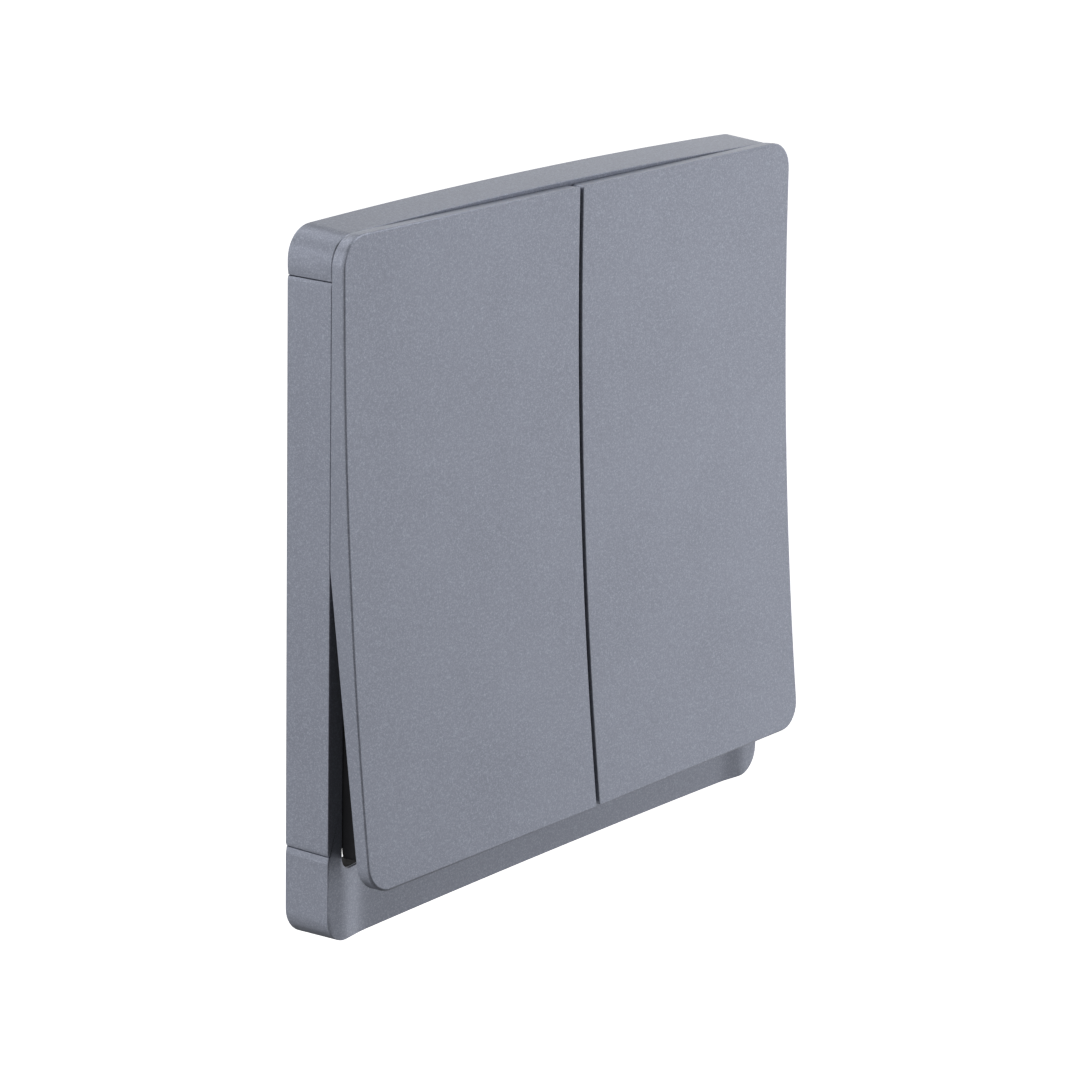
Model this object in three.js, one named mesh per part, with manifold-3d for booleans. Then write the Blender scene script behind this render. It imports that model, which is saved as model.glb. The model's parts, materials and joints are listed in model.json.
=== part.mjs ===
// Rocker wall switch with two gangs, on an 86 mm wall plate.
//
// Millimetres, +X to the right, +Y into the wall, +Z up. The origin is the centre of the
// cover frame's back plane, which lies on the wall. Both rockers are stored pressed at the
// top, so their lower ends stand out.

import * as THREE from 'three';
import { mergeVertices } from 'three/addons/utils/BufferGeometryUtils.js';
import Module from 'manifold-3d';

const wasm = await Module();
wasm.setup();

// ---------------------------------------------------------------- driving dimensions

const GAP = 0.3; // clearance between pieces that touch
const SEGMENTS = 20; // sides of a small round feature

// Cover frame
const PLATE = 86; // width and height
const FRAME_DEPTH = 6.5;
const CORNER = 3.6; // outer corner radius
const CROWN = 0.7; // rise of the top edge at its middle
const BEAM = 2.45; // width of the side beams
const OPENING_BOTTOM = -33.8;
const OPENING_TOP = 40.5;
const STRIP_RAMP_DROP = 0.5; // the strip below the rockers is sunk by this much behind its ramps
const STRIP_DISH = 0.4; // and by this much more at its middle
const RAMP_INSET = 2.5; // from the frame's side to the top of a ramp
const RAMP_LENGTH = 5.3;
const STRIP_WALL = 1.8; // around the hollow behind the strip
const LIP_THICK = 1.2;
const HOLLOW_FRONT = -4.2;
const LIP_BACK = -3.4; // the strip's inner lip stops this far before the wall
const GROOVE_HEIGHTS = [37.5, -31.5];
const GROOVE_WIDTH = 1.5;
const GROOVE_DEPTH = 0.35;
const LUG_HEIGHTS = [-16, 22];
const LUG_HALF = 3;
const LUG_FRONT = -1.1;
const LUG_BACK = -0.3;

// Rockers and their axis
const PIVOT_Y = -4.8;
const PIVOT_Z = 3.7;
const TILT = THREE.MathUtils.degToRad(3.6); // to each side of the neutral position
const ROCKER_HALF_HEIGHT = 38.95;
const ROCKER_OUTER = 42.85;
const SEAM_HALF = 0.33;
const FACE_MID = 9.7; // height of the rocker's face over the wall at the pivot
const FACE_CURVE = 0.0008; // the face is y = FACE_CURVE z² deep
const SKIN = 1.5;
const RIM = 1.2;
const SKIRT_HALF = 36.3; // half height of the skirt inside the frame's opening
const SKIRT_OUTER = 40;
const SKIRT_THICK = 1.1;
const SKIRT_REACH = 4.65; // past the rocker's back edge
const RIB_HEIGHTS = [-26, -15, 15, 26]; // cross ribs under the skin
const ARM_INNER = 34.3; // arm that carries the rocker's journal
const ARM_OUTER = 35.6;
const CLIP_NEAR = 5.5; // the clips reach from here to CLIP_FAR above and below the axis
const CLIP_FAR = 9;
const CLIP_THICK = 1.1;
const HOOK_REACH = 0.8;
const HOOK_THICK = 0.6;

// Mounting bridge and carrier
const BRIDGE_THICK = 1.2;
const FIXING_PITCH = 60.3;
const SLOT_WIDTH = 4.6;
const SLOT_LENGTH = 7.2;
const SEAT_RISE = 0.4; // the seats for the fixing screws' heads stand this much off the bridge
const SEAT_INNER = 27;
const SEAT_OUTER = 34.1;
const SEAT_HALF = 4.3;
const SCREW_HOLE_R = 1.2;
const BRIDGE_HALF_WIDTH = 37.5;
const BRIDGE_HALF_HEIGHT = 27;
const CARRIER_HALF_WIDTH = 38.5;
const CARRIER_BOTTOM = -31;
const CARRIER_TOP = 38.2;
const CARRIER_BACK = -1.5;
const CARRIER_FRONT = -2.7;
const POST_INNER = 36.2;
const POST_OUTER = 38.2;
const POST_FRONT = -6.3;
const POST_HALF = 2.9;
const MOUTH_NARROWING = 0.15; // a bearing's mouth is this much narrower on each side than what turns in it

// Mechanism module, centred on the pivot's height
const MODULE_HALF = 22.5;
const FLANGE_HALF = 26.5;
const COVER_HALF_HEIGHT = 28.5;
const MODULE_SCREW = 24.3; // the corner screws to the side of the module's centre, both ways
const MODULE_BACK = 14;
const WALL = 1.5;
const FLOOR = 12.4; // inner face of the housing's floor
const COVER_BACK = -3;
const COVER_FRONT = -4.1;
const GANG_X = 10.9; // each gang's centre to the side of the middle
const JOURNAL_R = 1.4;
const TRUNNION_R = 1.5;
const BEARING_PLAY = 0.25;
const DIVIDER_HALF = 0.8; // wall between the two bays
const WIRE_ENTRY_R = 1.65;
const ACCESS_R = 3; // openings over the terminal screws
const SADDLE_NEAR = 5.9; // a trunnion's saddle, from its gang's centre
const SADDLE_FAR = 7.5;
const SADDLE_FRONT = -6.3;
const HEAD_R = 1.8; // module screws
const SHANK_R = 0.9;
const HEAD_HEIGHT = 1.1;
const HEAD_SLOT = 0.5;

// Actuators: places along Y from their axis
const HEAD_FRONT = -3;
const HEAD_BACK = -1.2;
const HEAD_HALF_WIDTH = 5.2;
const BARREL_END = 8.4;
const BORE_R = 2.1;
const BORE_BOTTOM = -0.4;
const PLUNGER_BACK = 4.3;
const PLUNGER_TIP = 12;
const WIRE_R = 0.24;
const COIL_R = 1.4;
const COIL_TURNS = 4.5;
const COIL_STEPS = 12; // to each turn

// Contacts
const SEESAW_Y = 8.2;
const SEESAW_TILT = THREE.MathUtils.degToRad(5.94);
const RIVET_Z = 7.8;
const RIVET_HOLE_R = 0.85;
const BLADE_HALF_WIDTH = 2.5;
const PAD_HALF_WIDTH = 2.3;
const TAIL_HALF_WIDTH = 2.1;
const TAIL_THICK = 0.7;
const STRIP_FRONT = 11;
const STRIP_BACK = 11.7;
const CLAMP_X = 5.5; // terminal clamps to the side of their gang's centre
const CLAMP_Z = 17.1;
const CLAMP_OUTER = 3.1; // half height of a clamp's cage
const CLAMP_INNER = 2.2;
const TERMINAL_SCREW_Y = 8.2;
const TERMINAL_SHANK_R = 1.5;
const TERMINAL_HEAD_R = 2.5;

// ---------------------------------------------------------------- solids

// A closed geometry as a solid that can be joined and cut.
function solid(geometry) {
  const bare = geometry.clone();
  bare.deleteAttribute('normal');
  bare.deleteAttribute('uv');
  const merged = mergeVertices(bare, 1e-4);
  const triangles = [];
  for (let i = 0; i < merged.index.count; i += 3) {
    const [a, b, c] = merged.index.array.slice(i, i + 3);
    if (a !== b && b !== c && c !== a) {
      triangles.push(a, b, c);
    }
  }
  return new wasm.Manifold(new wasm.Mesh({
    numProp: 3,
    vertProperties: new Float32Array(merged.attributes.position.array),
    triVerts: new Uint32Array(triangles),
  }));
}

function block([x0, x1], [y0, y1], [z0, z1]) {
  const box = new THREE.BoxGeometry(Math.abs(x1 - x0), Math.abs(y1 - y0), Math.abs(z1 - z0));
  return solid(box.translate((x0 + x1) / 2, (y0 + y1) / 2, (z0 + z1) / 2));
}

function extrude(shape, depth) {
  return new THREE.ExtrudeGeometry(shape, { depth, bevelEnabled: false, curveSegments: 5 });
}

// An outline in X and Z, from y0 to y1.
function plate(shape, y0, y1) {
  return solid(extrude(shape, y1 - y0).rotateX(Math.PI / 2).translate(0, y1, 0));
}

// An outline in Y and Z, from x0 to x1.
function bar(shape, x0, x1) {
  const basis = new THREE.Matrix4().makeBasis(
    new THREE.Vector3(0, 1, 0),
    new THREE.Vector3(0, 0, 1),
    new THREE.Vector3(1, 0, 0),
  );
  const low = Math.min(x0, x1);
  return solid(extrude(shape, Math.abs(x1 - x0)).applyMatrix4(basis).translate(low, 0, 0));
}

// An outline in X and Y, from z0 to z1.
function column(shape, z0, z1) {
  return solid(extrude(shape, z1 - z0).translate(0, 0, z0));
}

// A round rod along an axis, from one place on it to another; other holds its centre.
function rod(axis, radius, from, to, other, sides = SEGMENTS) {
  const geometry = new THREE.CylinderGeometry(radius, radius, Math.abs(to - from), sides);
  const middle = (from + to) / 2;
  if (axis === 'x') {
    return solid(geometry.rotateZ(Math.PI / 2).translate(middle, other[0], other[1]));
  }
  if (axis === 'z') {
    return solid(geometry.rotateX(Math.PI / 2).translate(other[0], other[1], middle));
  }
  return solid(geometry.translate(other[0], middle, other[1]));
}

// A turned piece on the Y axis: points are [radius, y], from the axis and back to it.
function turned(points, sides = SEGMENTS) {
  const rising = points[0][1] < points[points.length - 1][1];
  const profile = (rising ? points : [...points].reverse()).map(([r, y]) => new THREE.Vector2(r, y));
  return solid(new THREE.LatheGeometry(profile, sides));
}

function polygon(points) {
  return new THREE.Shape(points.map(([a, b]) => new THREE.Vector2(a, b)));
}

function roundedRectangle(x0, x1, z0, z1, radius) {
  const shape = new THREE.Shape();
  shape.moveTo(x0 + radius, z0);
  shape.lineTo(x1 - radius, z0);
  shape.absarc(x1 - radius, z0 + radius, radius, -Math.PI / 2, 0);
  shape.lineTo(x1, z1 - radius);
  shape.absarc(x1 - radius, z1 - radius, radius, 0, Math.PI / 2);
  shape.lineTo(x0 + radius, z1);
  shape.absarc(x0 + radius, z1 - radius, radius, Math.PI / 2, Math.PI);
  shape.lineTo(x0, z0 + radius);
  shape.absarc(x0 + radius, z0 + radius, radius, Math.PI, 1.5 * Math.PI);
  return shape;
}

function joined(...pieces) {
  return pieces.reduce((sum, piece) => sum.add(piece));
}

function cut(body, ...tools) {
  return tools.reduce((rest, tool) => rest.subtract(tool), body);
}

function both(make) {
  return [-1, 1].map(make);
}

// ---------------------------------------------------------------- finishes and nodes

const FINISH = {
  paint: { color: 0x8a9098, roughness: 0.5, metalness: 0.45 },
  zinc: { color: 0xb4b7b8, roughness: 0.4, metalness: 0.9 },
  darkPlastic: { color: 0x3b3d42, roughness: 0.6, metalness: 0 },
  whitePlastic: { color: 0xe4e2dc, roughness: 0.5, metalness: 0 },
  greyPlastic: { color: 0xb9bbbd, roughness: 0.5, metalness: 0 },
  acetal: { color: 0xf2f1ec, roughness: 0.35, metalness: 0 },
  redNylon: { color: 0xa83a2c, roughness: 0.4, metalness: 0 },
  springSteel: { color: 0x9a9da0, roughness: 0.3, metalness: 1 },
  brass: { color: 0xc9a24d, roughness: 0.35, metalness: 1 },
  copper: { color: 0xc2774a, roughness: 0.35, metalness: 1 },
  silver: { color: 0xd9d7cf, roughness: 0.3, metalness: 1 },
};

function node(name, finish, body) {
  const { vertProperties, triVerts } = body.getMesh();
  const geometry = new THREE.BufferGeometry();
  geometry.setAttribute('position', new THREE.BufferAttribute(vertProperties, 3));
  geometry.setIndex(new THREE.BufferAttribute(triVerts, 1));
  geometry.computeVertexNormals();
  const mesh = new THREE.Mesh(geometry, new THREE.MeshStandardMaterial(FINISH[finish]));
  mesh.name = name;
  return mesh;
}

// ---------------------------------------------------------------- fixed outer pieces

function coverFrame() {
  const half = PLATE / 2;
  const outline = new THREE.Shape();
  outline.moveTo(-half + CORNER, -half);
  outline.lineTo(half - CORNER, -half);
  outline.absarc(half - CORNER, -half + CORNER, CORNER, -Math.PI / 2, 0);
  outline.lineTo(half, half - CORNER);
  outline.absarc(half - CORNER, half - CORNER, CORNER, 0, Math.PI / 2);
  outline.quadraticCurveTo(0, half + 2 * CROWN, -half + CORNER, half);
  outline.absarc(-half + CORNER, half - CORNER, CORNER, Math.PI / 2, Math.PI);
  outline.lineTo(-half, -half + CORNER);
  outline.absarc(-half + CORNER, -half + CORNER, CORNER, Math.PI, 1.5 * Math.PI);

  const inner = half - BEAM;
  const opening = roundedRectangle(-inner, inner, OPENING_BOTTOM, OPENING_TOP, 1.5);

  // The strip below the rockers: short ramps down from the corners, then a shallow dish.
  const rampTop = half - RAMP_INSET;
  const rampFoot = rampTop - RAMP_LENGTH;
  const sunk = -FRAME_DEPTH + STRIP_RAMP_DROP;
  const dish = new THREE.Shape();
  dish.moveTo(-rampTop, -FRAME_DEPTH - 1);
  dish.lineTo(rampTop, -FRAME_DEPTH - 1);
  dish.lineTo(rampTop, -FRAME_DEPTH);
  dish.lineTo(rampFoot, sunk);
  dish.quadraticCurveTo(0, sunk + 2 * STRIP_DISH, -rampFoot, sunk);
  dish.lineTo(-rampTop, -FRAME_DEPTH);

  // The strip is hollow from behind. Its inner lip stops short of the wall.
  const lip = OPENING_BOTTOM - LIP_THICK;
  const hollowHalf = half - STRIP_WALL;
  const hollow = block([-hollowHalf, hollowHalf], [HOLLOW_FRONT, 1], [-hollowHalf, lip]);
  const lipCut = block([-hollowHalf, hollowHalf], [LIP_BACK, 1], [lip - 1, OPENING_BOTTOM + 0.6]);

  const grooves = GROOVE_HEIGHTS.flatMap((z) => both((side) => {
    const outside = side * (half + 1);
    const spread = GROOVE_WIDTH * (1 + GROOVE_DEPTH) / GROOVE_DEPTH / 2;
    const notch = polygon([
      [side * (half - GROOVE_DEPTH), z],
      [outside, z - spread],
      [outside, z + spread],
    ]);
    return plate(notch, -FRAME_DEPTH - 1, 1);
  }));

  const ring = cut(
    plate(outline, -FRAME_DEPTH, 0),
    plate(opening, -FRAME_DEPTH - 1, 1),
    column(dish, -half - 1, OPENING_BOTTOM + 0.5),
    hollow,
    lipCut,
    ...grooves,
  );

  // Snap lugs that hook behind the carrier's edge.
  const lugs = both((side) => LUG_HEIGHTS.map((z) => {
    const tip = side * (CARRIER_HALF_WIDTH - 0.5);
    const root = side * (inner + 0.2);
    return block([tip, root], [LUG_FRONT, LUG_BACK], [z - LUG_HALF, z + LUG_HALF]);
  })).flat();
  return joined(ring, ...lugs);
}

function mountingBridge() {
  const [low, high] = [PIVOT_Z - BRIDGE_HALF_HEIGHT, PIVOT_Z + BRIDGE_HALF_HEIGHT];
  const outline = roundedRectangle(-BRIDGE_HALF_WIDTH, BRIDGE_HALF_WIDTH, low, high, 2.5);
  const window = MODULE_HALF + GAP;
  const slots = both((side) => {
    const x = side * FIXING_PITCH / 2;
    const radius = SLOT_WIDTH / 2;
    const half = SLOT_LENGTH / 2;
    return plate(roundedRectangle(x - half, x + half, -radius, radius, radius - 0.01), -2, 1);
  });
  const seats = both((side) => (
    block(
      [side * SEAT_INNER, side * SEAT_OUTER],
      [-BRIDGE_THICK - SEAT_RISE, -BRIDGE_THICK / 2],
      [-SEAT_HALF, SEAT_HALF],
    )
  ));
  const screwHoles = corners().map(([x, z]) => (
    rod('y', SCREW_HOLE_R, -2, 1, [x, PIVOT_Z + z], 12)
  ));
  return cut(
    joined(plate(outline, -BRIDGE_THICK, 0), ...seats),
    block([-window, window], [-2, 1], [PIVOT_Z - window, PIVOT_Z + window]),
    ...slots,
    ...screwHoles,
  );
}

// Where the module's corner screws are, from its centre.
function corners() {
  const reach = MODULE_SCREW;
  return [[-reach, reach], [reach, reach], [-reach, -reach], [reach, -reach]];
}

function rockerCarrier() {
  const outline = roundedRectangle(
    -CARRIER_HALF_WIDTH, CARRIER_HALF_WIDTH, CARRIER_BOTTOM, CARRIER_TOP, 3,
  );
  const window = FLANGE_HALF + GAP;
  const base = cut(
    plate(outline, CARRIER_FRONT, CARRIER_BACK),
    block([-window, window], [-4, 0], [PIVOT_Z - window, PIVOT_Z + window]),
    // Notches that leave room for the heads of the fixing screws.
    ...both((side) => block([side * (window - 1), side * 35.5], [-4, 0], [-5, 5])),
  );

  // Bearing posts for the rockers' outer journals, open at the front so that these snap in.
  const posts = both((side) => {
    const across = [side * (POST_INNER - 1), side * (POST_OUTER + 1)];
    const hole = JOURNAL_R + BEARING_PLAY;
    const mouth = JOURNAL_R - MOUTH_NARROWING;
    const post = block(
      [side * POST_INNER, side * POST_OUTER],
      [POST_FRONT, CARRIER_BACK - 0.1],
      [PIVOT_Z - POST_HALF, PIVOT_Z + POST_HALF],
    );
    return cut(
      post,
      rod('x', hole, ...across, [PIVOT_Y, PIVOT_Z]),
      block(across, [POST_FRONT - 1, PIVOT_Y], [PIVOT_Z - mouth, PIVOT_Z + mouth]),
    );
  });

  // Ribs along the outer edges stiffen the plate.
  const ribs = both((side) => [[-29, -6], [10, 36]].map(([z0, z1]) => (
    block([side * 37, side * CARRIER_HALF_WIDTH], [-3.6, CARRIER_BACK - 0.1], [z0, z1])
  ))).flat();
  return joined(base, ...posts, ...ribs);
}

// ---------------------------------------------------------------- module, heights from the pivot

function moduleHousing() {
  const half = MODULE_HALF;
  const inside = half - WALL;
  const bays = both((side) => (
    block([side * DIVIDER_HALF, side * inside], [-4, FLOOR], [-inside, inside])
  ));
  const shell = cut(
    joined(
      block([-half, half], [CARRIER_FRONT, MODULE_BACK], [-half, half]),
      plate(roundedRectangle(-FLANGE_HALF, FLANGE_HALF, -FLANGE_HALF, FLANGE_HALF, 1.5),
        CARRIER_FRONT, CARRIER_BACK),
    ),
    ...bays,
    ...corners().map(([x, z]) => rod('y', SCREW_HOLE_R, -4, 0, [x, z], 12)),
  );
  const terminals = both((side) => clampPlaces(side)).flat();
  const wireEntries = terminals.map(({ x, z }) => (
    rod('y', WIRE_ENTRY_R, FLOOR - 1, MODULE_BACK + 1, [x, z + Math.sign(z) * 0.6], 16)
  ));
  const screwAccess = terminals.map(({ x, z }) => {
    const way = Math.sign(z);
    return rod('z', ACCESS_R, way * (inside - 1), way * (half + 1), [x, TERMINAL_SCREW_Y]);
  });

  // Ribs on the floor keep the terminals of a gang apart.
  const ribs = both((side) => [-1, 1].map((way) => {
    const x = side * GANG_X;
    return block([x - 0.6, x + 0.6], [5.5, FLOOR + 0.1], [way * 12.2, way * (inside + 0.1)]);
  })).flat();
  return joined(cut(shell, ...wireEntries, ...screwAccess), ...ribs);
}

function moduleCover() {
  const [wide, tall] = [FLANGE_HALF, COVER_HALF_HEIGHT];
  const base = plate(roundedRectangle(-wide, wide, -tall, tall, 3), COVER_FRONT, COVER_BACK);
  const centres = both((side) => side * GANG_X);
  const windows = centres.map((x) => block([x - 5.6, x + 5.6], [-5, -2], [-6.6, 6.6]));

  // Saddles for the actuators' trunnions, open at the front.
  const saddles = centres.flatMap((x) => both((way) => (
    block(
      [x + way * SADDLE_NEAR, x + way * SADDLE_FAR],
      [SADDLE_FRONT, COVER_BACK + 0.8],
      [-3, 3],
    )
  )));
  const mouth = TRUNNION_R - MOUTH_NARROWING;
  const bearings = centres.flatMap((x) => [
    rod('x', TRUNNION_R + BEARING_PLAY, x - 8, x + 8, [PIVOT_Y, 0]),
    block([x - 8, x + 8], [-7, PIVOT_Y], [-mouth, mouth]),
  ]);
  const screwHoles = corners().map(([x, z]) => rod('y', SCREW_HOLE_R, -6, 0, [x, z], 12));
  return cut(joined(base, ...saddles), ...windows, ...bearings, ...screwHoles);
}

// A pan-head screw along Y with a slotted head, its head facing the front.
function moduleScrew() {
  const headBack = COVER_FRONT - 0.15;
  const headFront = headBack - HEAD_HEIGHT;
  const body = turned([
    [0, headFront],
    [HEAD_R * 2 / 3, headFront],
    [HEAD_R, headFront + 0.45],
    [HEAD_R, headBack],
    [SHANK_R, headBack],
    [SHANK_R, 0.2],
    [0, 0.2 + SHANK_R * 0.8],
  ], 16);
  const slotHalf = HEAD_SLOT / 2;
  return cut(body, block([-2, 2], [headFront - 1, headFront + HEAD_SLOT], [-slotHalf, slotHalf]));
}

// ---------------------------------------------------------------- moving pieces, from the axis

function faceY(z) {
  return -(FACE_MID + PIVOT_Y) - FACE_CURVE * z * z;
}

// The back edge has two flats that meet at the pivot, one for each resting position.
function backY(z) {
  const kink = (FRAME_DEPTH + GAP + PIVOT_Y) / Math.cos(TILT);
  return -kink - Math.tan(TILT) * Math.abs(z);
}

// A profile in Y and Z between the rocker's face, moved by front, and its flats, moved by back.
function rockerProfile(half, front, back) {
  const steps = 14;
  const points = [];
  for (let i = 0; i <= steps; i += 1) {
    const z = -half + (2 * half * i) / steps;
    points.push([faceY(z) + front, z]);
  }
  for (const z of [half, 0, -half]) {
    points.push([backY(z) + back, z]);
  }
  return polygon(points);
}

function rockerOutline(side) {
  const half = ROCKER_HALF_HEIGHT;
  const a = side * SEAM_HALF;
  const b = side * ROCKER_OUTER;
  const c = side * (ROCKER_OUTER - CORNER);
  const shape = new THREE.Shape();
  shape.moveTo(a, -half);
  shape.lineTo(c, -half);
  shape.absarc(c, -half + CORNER, CORNER, -Math.PI / 2, side > 0 ? 0 : -Math.PI, side < 0);
  shape.lineTo(b, half - CORNER);
  shape.absarc(c, half - CORNER, CORNER, side > 0 ? 0 : Math.PI, Math.PI / 2, side < 0);
  shape.lineTo(a, half);
  return shape;
}

function rockerButton(side) {
  const half = ROCKER_HALF_HEIGHT;
  const hollowHalf = half - RIM;
  const [near, far] = [side * (SEAM_HALF + RIM), side * (ROCKER_OUTER - RIM)];
  const hollowOutline = roundedRectangle(
    Math.min(near, far), Math.max(near, far), -hollowHalf, hollowHalf, 1.5,
  );
  const blank = bar(rockerProfile(half, 0, 0), side * SEAM_HALF, side * ROCKER_OUTER);
  const shell = cut(
    blank.intersect(plate(rockerOutline(side), -20, 20)),
    bar(rockerProfile(hollowHalf, SKIN, 5), near, far).intersect(plate(hollowOutline, -20, 20)),
  );

  // The skirt reaches into the frame's opening on the three outer sides.
  const root = SKIN - 0.3;
  const skirt = cut(
    bar(rockerProfile(SKIRT_HALF, root, SKIRT_REACH), side * 2.2, side * SKIRT_OUTER),
    bar(rockerProfile(SKIRT_HALF - SKIRT_THICK, root - 0.2, 8), side, side * (SKIRT_OUTER - SKIRT_THICK)),
  );

  // Cross ribs under the skin.
  const ribs = RIB_HEIGHTS.map((z) => (
    block(
      [side, side * (SKIRT_OUTER - 0.5)],
      [faceY(z) + root, faceY(z) + SKIN + 0.9],
      [z - 0.5, z + 0.5],
    )
  ));

  // The outer arm carries the journal that turns in the carrier's bearing post.
  const under = faceY(0) + root;
  const arm = polygon([[under, -4], [1.5, -1.7], [1.5, 1.7], [under, 4]]);
  const journal = joined(
    bar(arm, side * ARM_INNER, side * ARM_OUTER),
    rod('x', JOURNAL_R, side * (ARM_OUTER - 0.6), side * (POST_OUTER - 0.1), [0, 0]),
  );

  // Four clips hold the button on the actuator's head.
  const clips = both((way) => both((up) => {
    const x = side * GANG_X;
    const inner = x + way * (HEAD_HALF_WIDTH + GAP);
    const outer = inner + way * CLIP_THICK;
    const hookFront = HEAD_BACK + GAP;
    const hookBack = hookFront + HOOK_THICK;
    const height = [up * CLIP_NEAR, up * CLIP_FAR];
    const leg = block([inner, outer], [under, hookBack], height);
    const hook = block([inner - way * HOOK_REACH, outer], [hookFront, hookBack], height);
    return joined(leg, hook);
  })).flat();
  return joined(shell, skirt, ...ribs, journal, ...clips);
}

function actuator() {
  const width = [-HEAD_HALF_WIDTH, HEAD_HALF_WIDTH];
  const head = block(width, [HEAD_FRONT, HEAD_BACK], [-12, 12]);
  const core = block(width, [HEAD_BACK - 0.1, 2.6], [-5, 5]);
  const trunnions = rod('x', TRUNNION_R, -7.7, 7.7, [0, 0]);
  const barrel = rod('y', 3.3, 2, BARREL_END, [0, 0], 24);
  const bore = rod('y', BORE_R, BORE_BOTTOM, BARREL_END + 1, [0, 0], 24);
  return cut(joined(head, core, trunnions, barrel), bore);
}

function plunger() {
  const radius = BORE_R - GAP;
  const points = [[0, PLUNGER_BACK], [radius, PLUNGER_BACK]];
  for (const angle of [0, 25, 50, 75].map(THREE.MathUtils.degToRad)) {
    points.push([radius * Math.cos(angle), PLUNGER_TIP - radius * (1 - Math.sin(angle))]);
  }
  return turned([...points, [0, PLUNGER_TIP]]);
}

function plungerSpring() {
  const start = BORE_BOTTOM + WIRE_R + GAP;
  const end = PLUNGER_BACK - WIRE_R - GAP;
  const steps = Math.round(COIL_TURNS * COIL_STEPS);
  const points = [];
  for (let i = 0; i <= steps; i += 1) {
    const turn = (2 * Math.PI * COIL_TURNS * i) / steps;
    const y = start + ((end - start) * i) / steps;
    points.push(new THREE.Vector3(COIL_R * Math.cos(turn), y, COIL_R * Math.sin(turn)));
  }
  const wire = new THREE.Shape();
  wire.absarc(0, 0, WIRE_R, 0, 2 * Math.PI);
  const extrudePath = new THREE.CatmullRomCurve3(points);
  return solid(new THREE.ExtrudeGeometry(wire, {
    extrudePath, steps, curveSegments: 3, bevelEnabled: false,
  }));
}

// ---------------------------------------------------------------- contacts

// A shallow bent blade on the knife edge, with a hole for a rivet at each end.
function seesawContact() {
  const blade = bar(polygon([
    [-0.2, -9.5], [-0.6, -3], [-0.6, 3], [-0.2, 9.5], [0.5, 9.5], [0.1, 3], [0.1, -3], [0.5, -9.5],
  ]), -BLADE_HALF_WIDTH, BLADE_HALF_WIDTH);
  const holes = both((up) => rod('y', RIVET_HOLE_R, -2, 2, [0, up * RIVET_Z], 12));
  const lugs = both((way) => both((up) => (
    block([way * (BLADE_HALF_WIDTH - 0.8), way * BLADE_HALF_WIDTH], [0, 1.2], [up * 2.2, up * 3])
  ))).flat();
  return joined(cut(blade, ...holes), ...lugs);
}

// A contact rivet along Y: its face looks to +Y or to -Y.
function contactRivet(face, neck, tail) {
  const edge = face + Math.sign(neck - face) * 0.12;
  return turned([
    [0, face], [1, face], [1.3, edge], [1.3, neck], [0.55, neck], [0.55, tail], [0, tail],
  ], 14);
}

// A contact strip on the floor, bent up at its end inside the terminal clamp.
function strip(padShape, tailX, tailWay) {
  const base = plate(padShape, STRIP_FRONT, STRIP_BACK);
  const tailEnd = CLAMP_Z - 1.2;
  const tail = block(
    [tailX - TAIL_HALF_WIDTH, tailX + TAIL_HALF_WIDTH],
    [6, STRIP_BACK],
    [tailWay * (tailEnd - TAIL_THICK), tailWay * tailEnd],
  );
  return joined(base, tail);
}

function fixedContact(way, tailX) {
  const end = way * (CLAMP_Z - 1.2);
  const near = tailX + TAIL_HALF_WIDTH;
  const far = tailX - TAIL_HALF_WIDTH;
  const half = PAD_HALF_WIDTH;
  const padNear = way * (RIVET_Z - 2.2);
  const pad = polygon([
    [-half, padNear], [half, padNear], [half, way * 10.2], [near, way * 11.4], [near, end],
    [far, end], [far, way * 8], [-half, padNear + way * 0.5],
  ]);
  const hole = rod('y', RIVET_HOLE_R, STRIP_FRONT - 1, STRIP_BACK + 1, [0, way * RIVET_Z], 12);
  return cut(strip(pad, tailX, way), hole);
}

function commonTerminal(tailX) {
  const near = tailX - TAIL_HALF_WIDTH;
  const far = tailX + TAIL_HALF_WIDTH;
  const end = -(CLAMP_Z - 1.2);
  const half = PAD_HALF_WIDTH;
  const pad = polygon([
    [-half, -1.8], [near, -4], [near, end], [far, end], [far, 0], [half, 1.8], [-half, 1.8],
  ]);
  const knifeFront = SEESAW_Y + 0.45;
  const knifeBack = STRIP_FRONT + 0.1;
  const knife = polygon([
    [knifeFront, -0.2], [knifeBack, -1.6], [knifeBack, 1.6], [knifeFront, 0.2],
  ]);
  return joined(strip(pad, tailX, -1), bar(knife, -1.3, 1.3));
}

// The three terminals of a gang: x and z of each clamp's centre.
function clampPlaces(side) {
  const x = side * GANG_X;
  return [
    { role: 'upper', x: x - CLAMP_X, z: CLAMP_Z },
    { role: 'lower', x: x - CLAMP_X, z: -CLAMP_Z },
    { role: 'common', x: x + CLAMP_X, z: -CLAMP_Z },
  ];
}

// A cage clamp, open along Y, with a hole for its screw in the outer wall.
function terminalClamp(way) {
  return cut(
    block([-3.2, 3.2], [5.4, 10.7], [-CLAMP_OUTER, CLAMP_OUTER]),
    block([-2.3, 2.3], [4, 12], [-CLAMP_INNER, CLAMP_INNER]),
    rod('z', TERMINAL_SHANK_R + GAP, way * 1.5, way * 4, [0, TERMINAL_SCREW_Y], 16),
  );
}

function terminalScrew(way) {
  const body = joined(
    rod('z', TERMINAL_SHANK_R, way * 1.7, way * 3.7, [0, TERMINAL_SCREW_Y], 16),
    rod('z', TERMINAL_HEAD_R, way * 3.5, way * 5.1, [0, TERMINAL_SCREW_Y]),
  );
  const slot = [TERMINAL_SCREW_Y - 0.4, TERMINAL_SCREW_Y + 0.4];
  return cut(body, block([-3, 3], slot, [way * 4.4, way * 6]));
}

// ---------------------------------------------------------------- assembly

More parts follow.
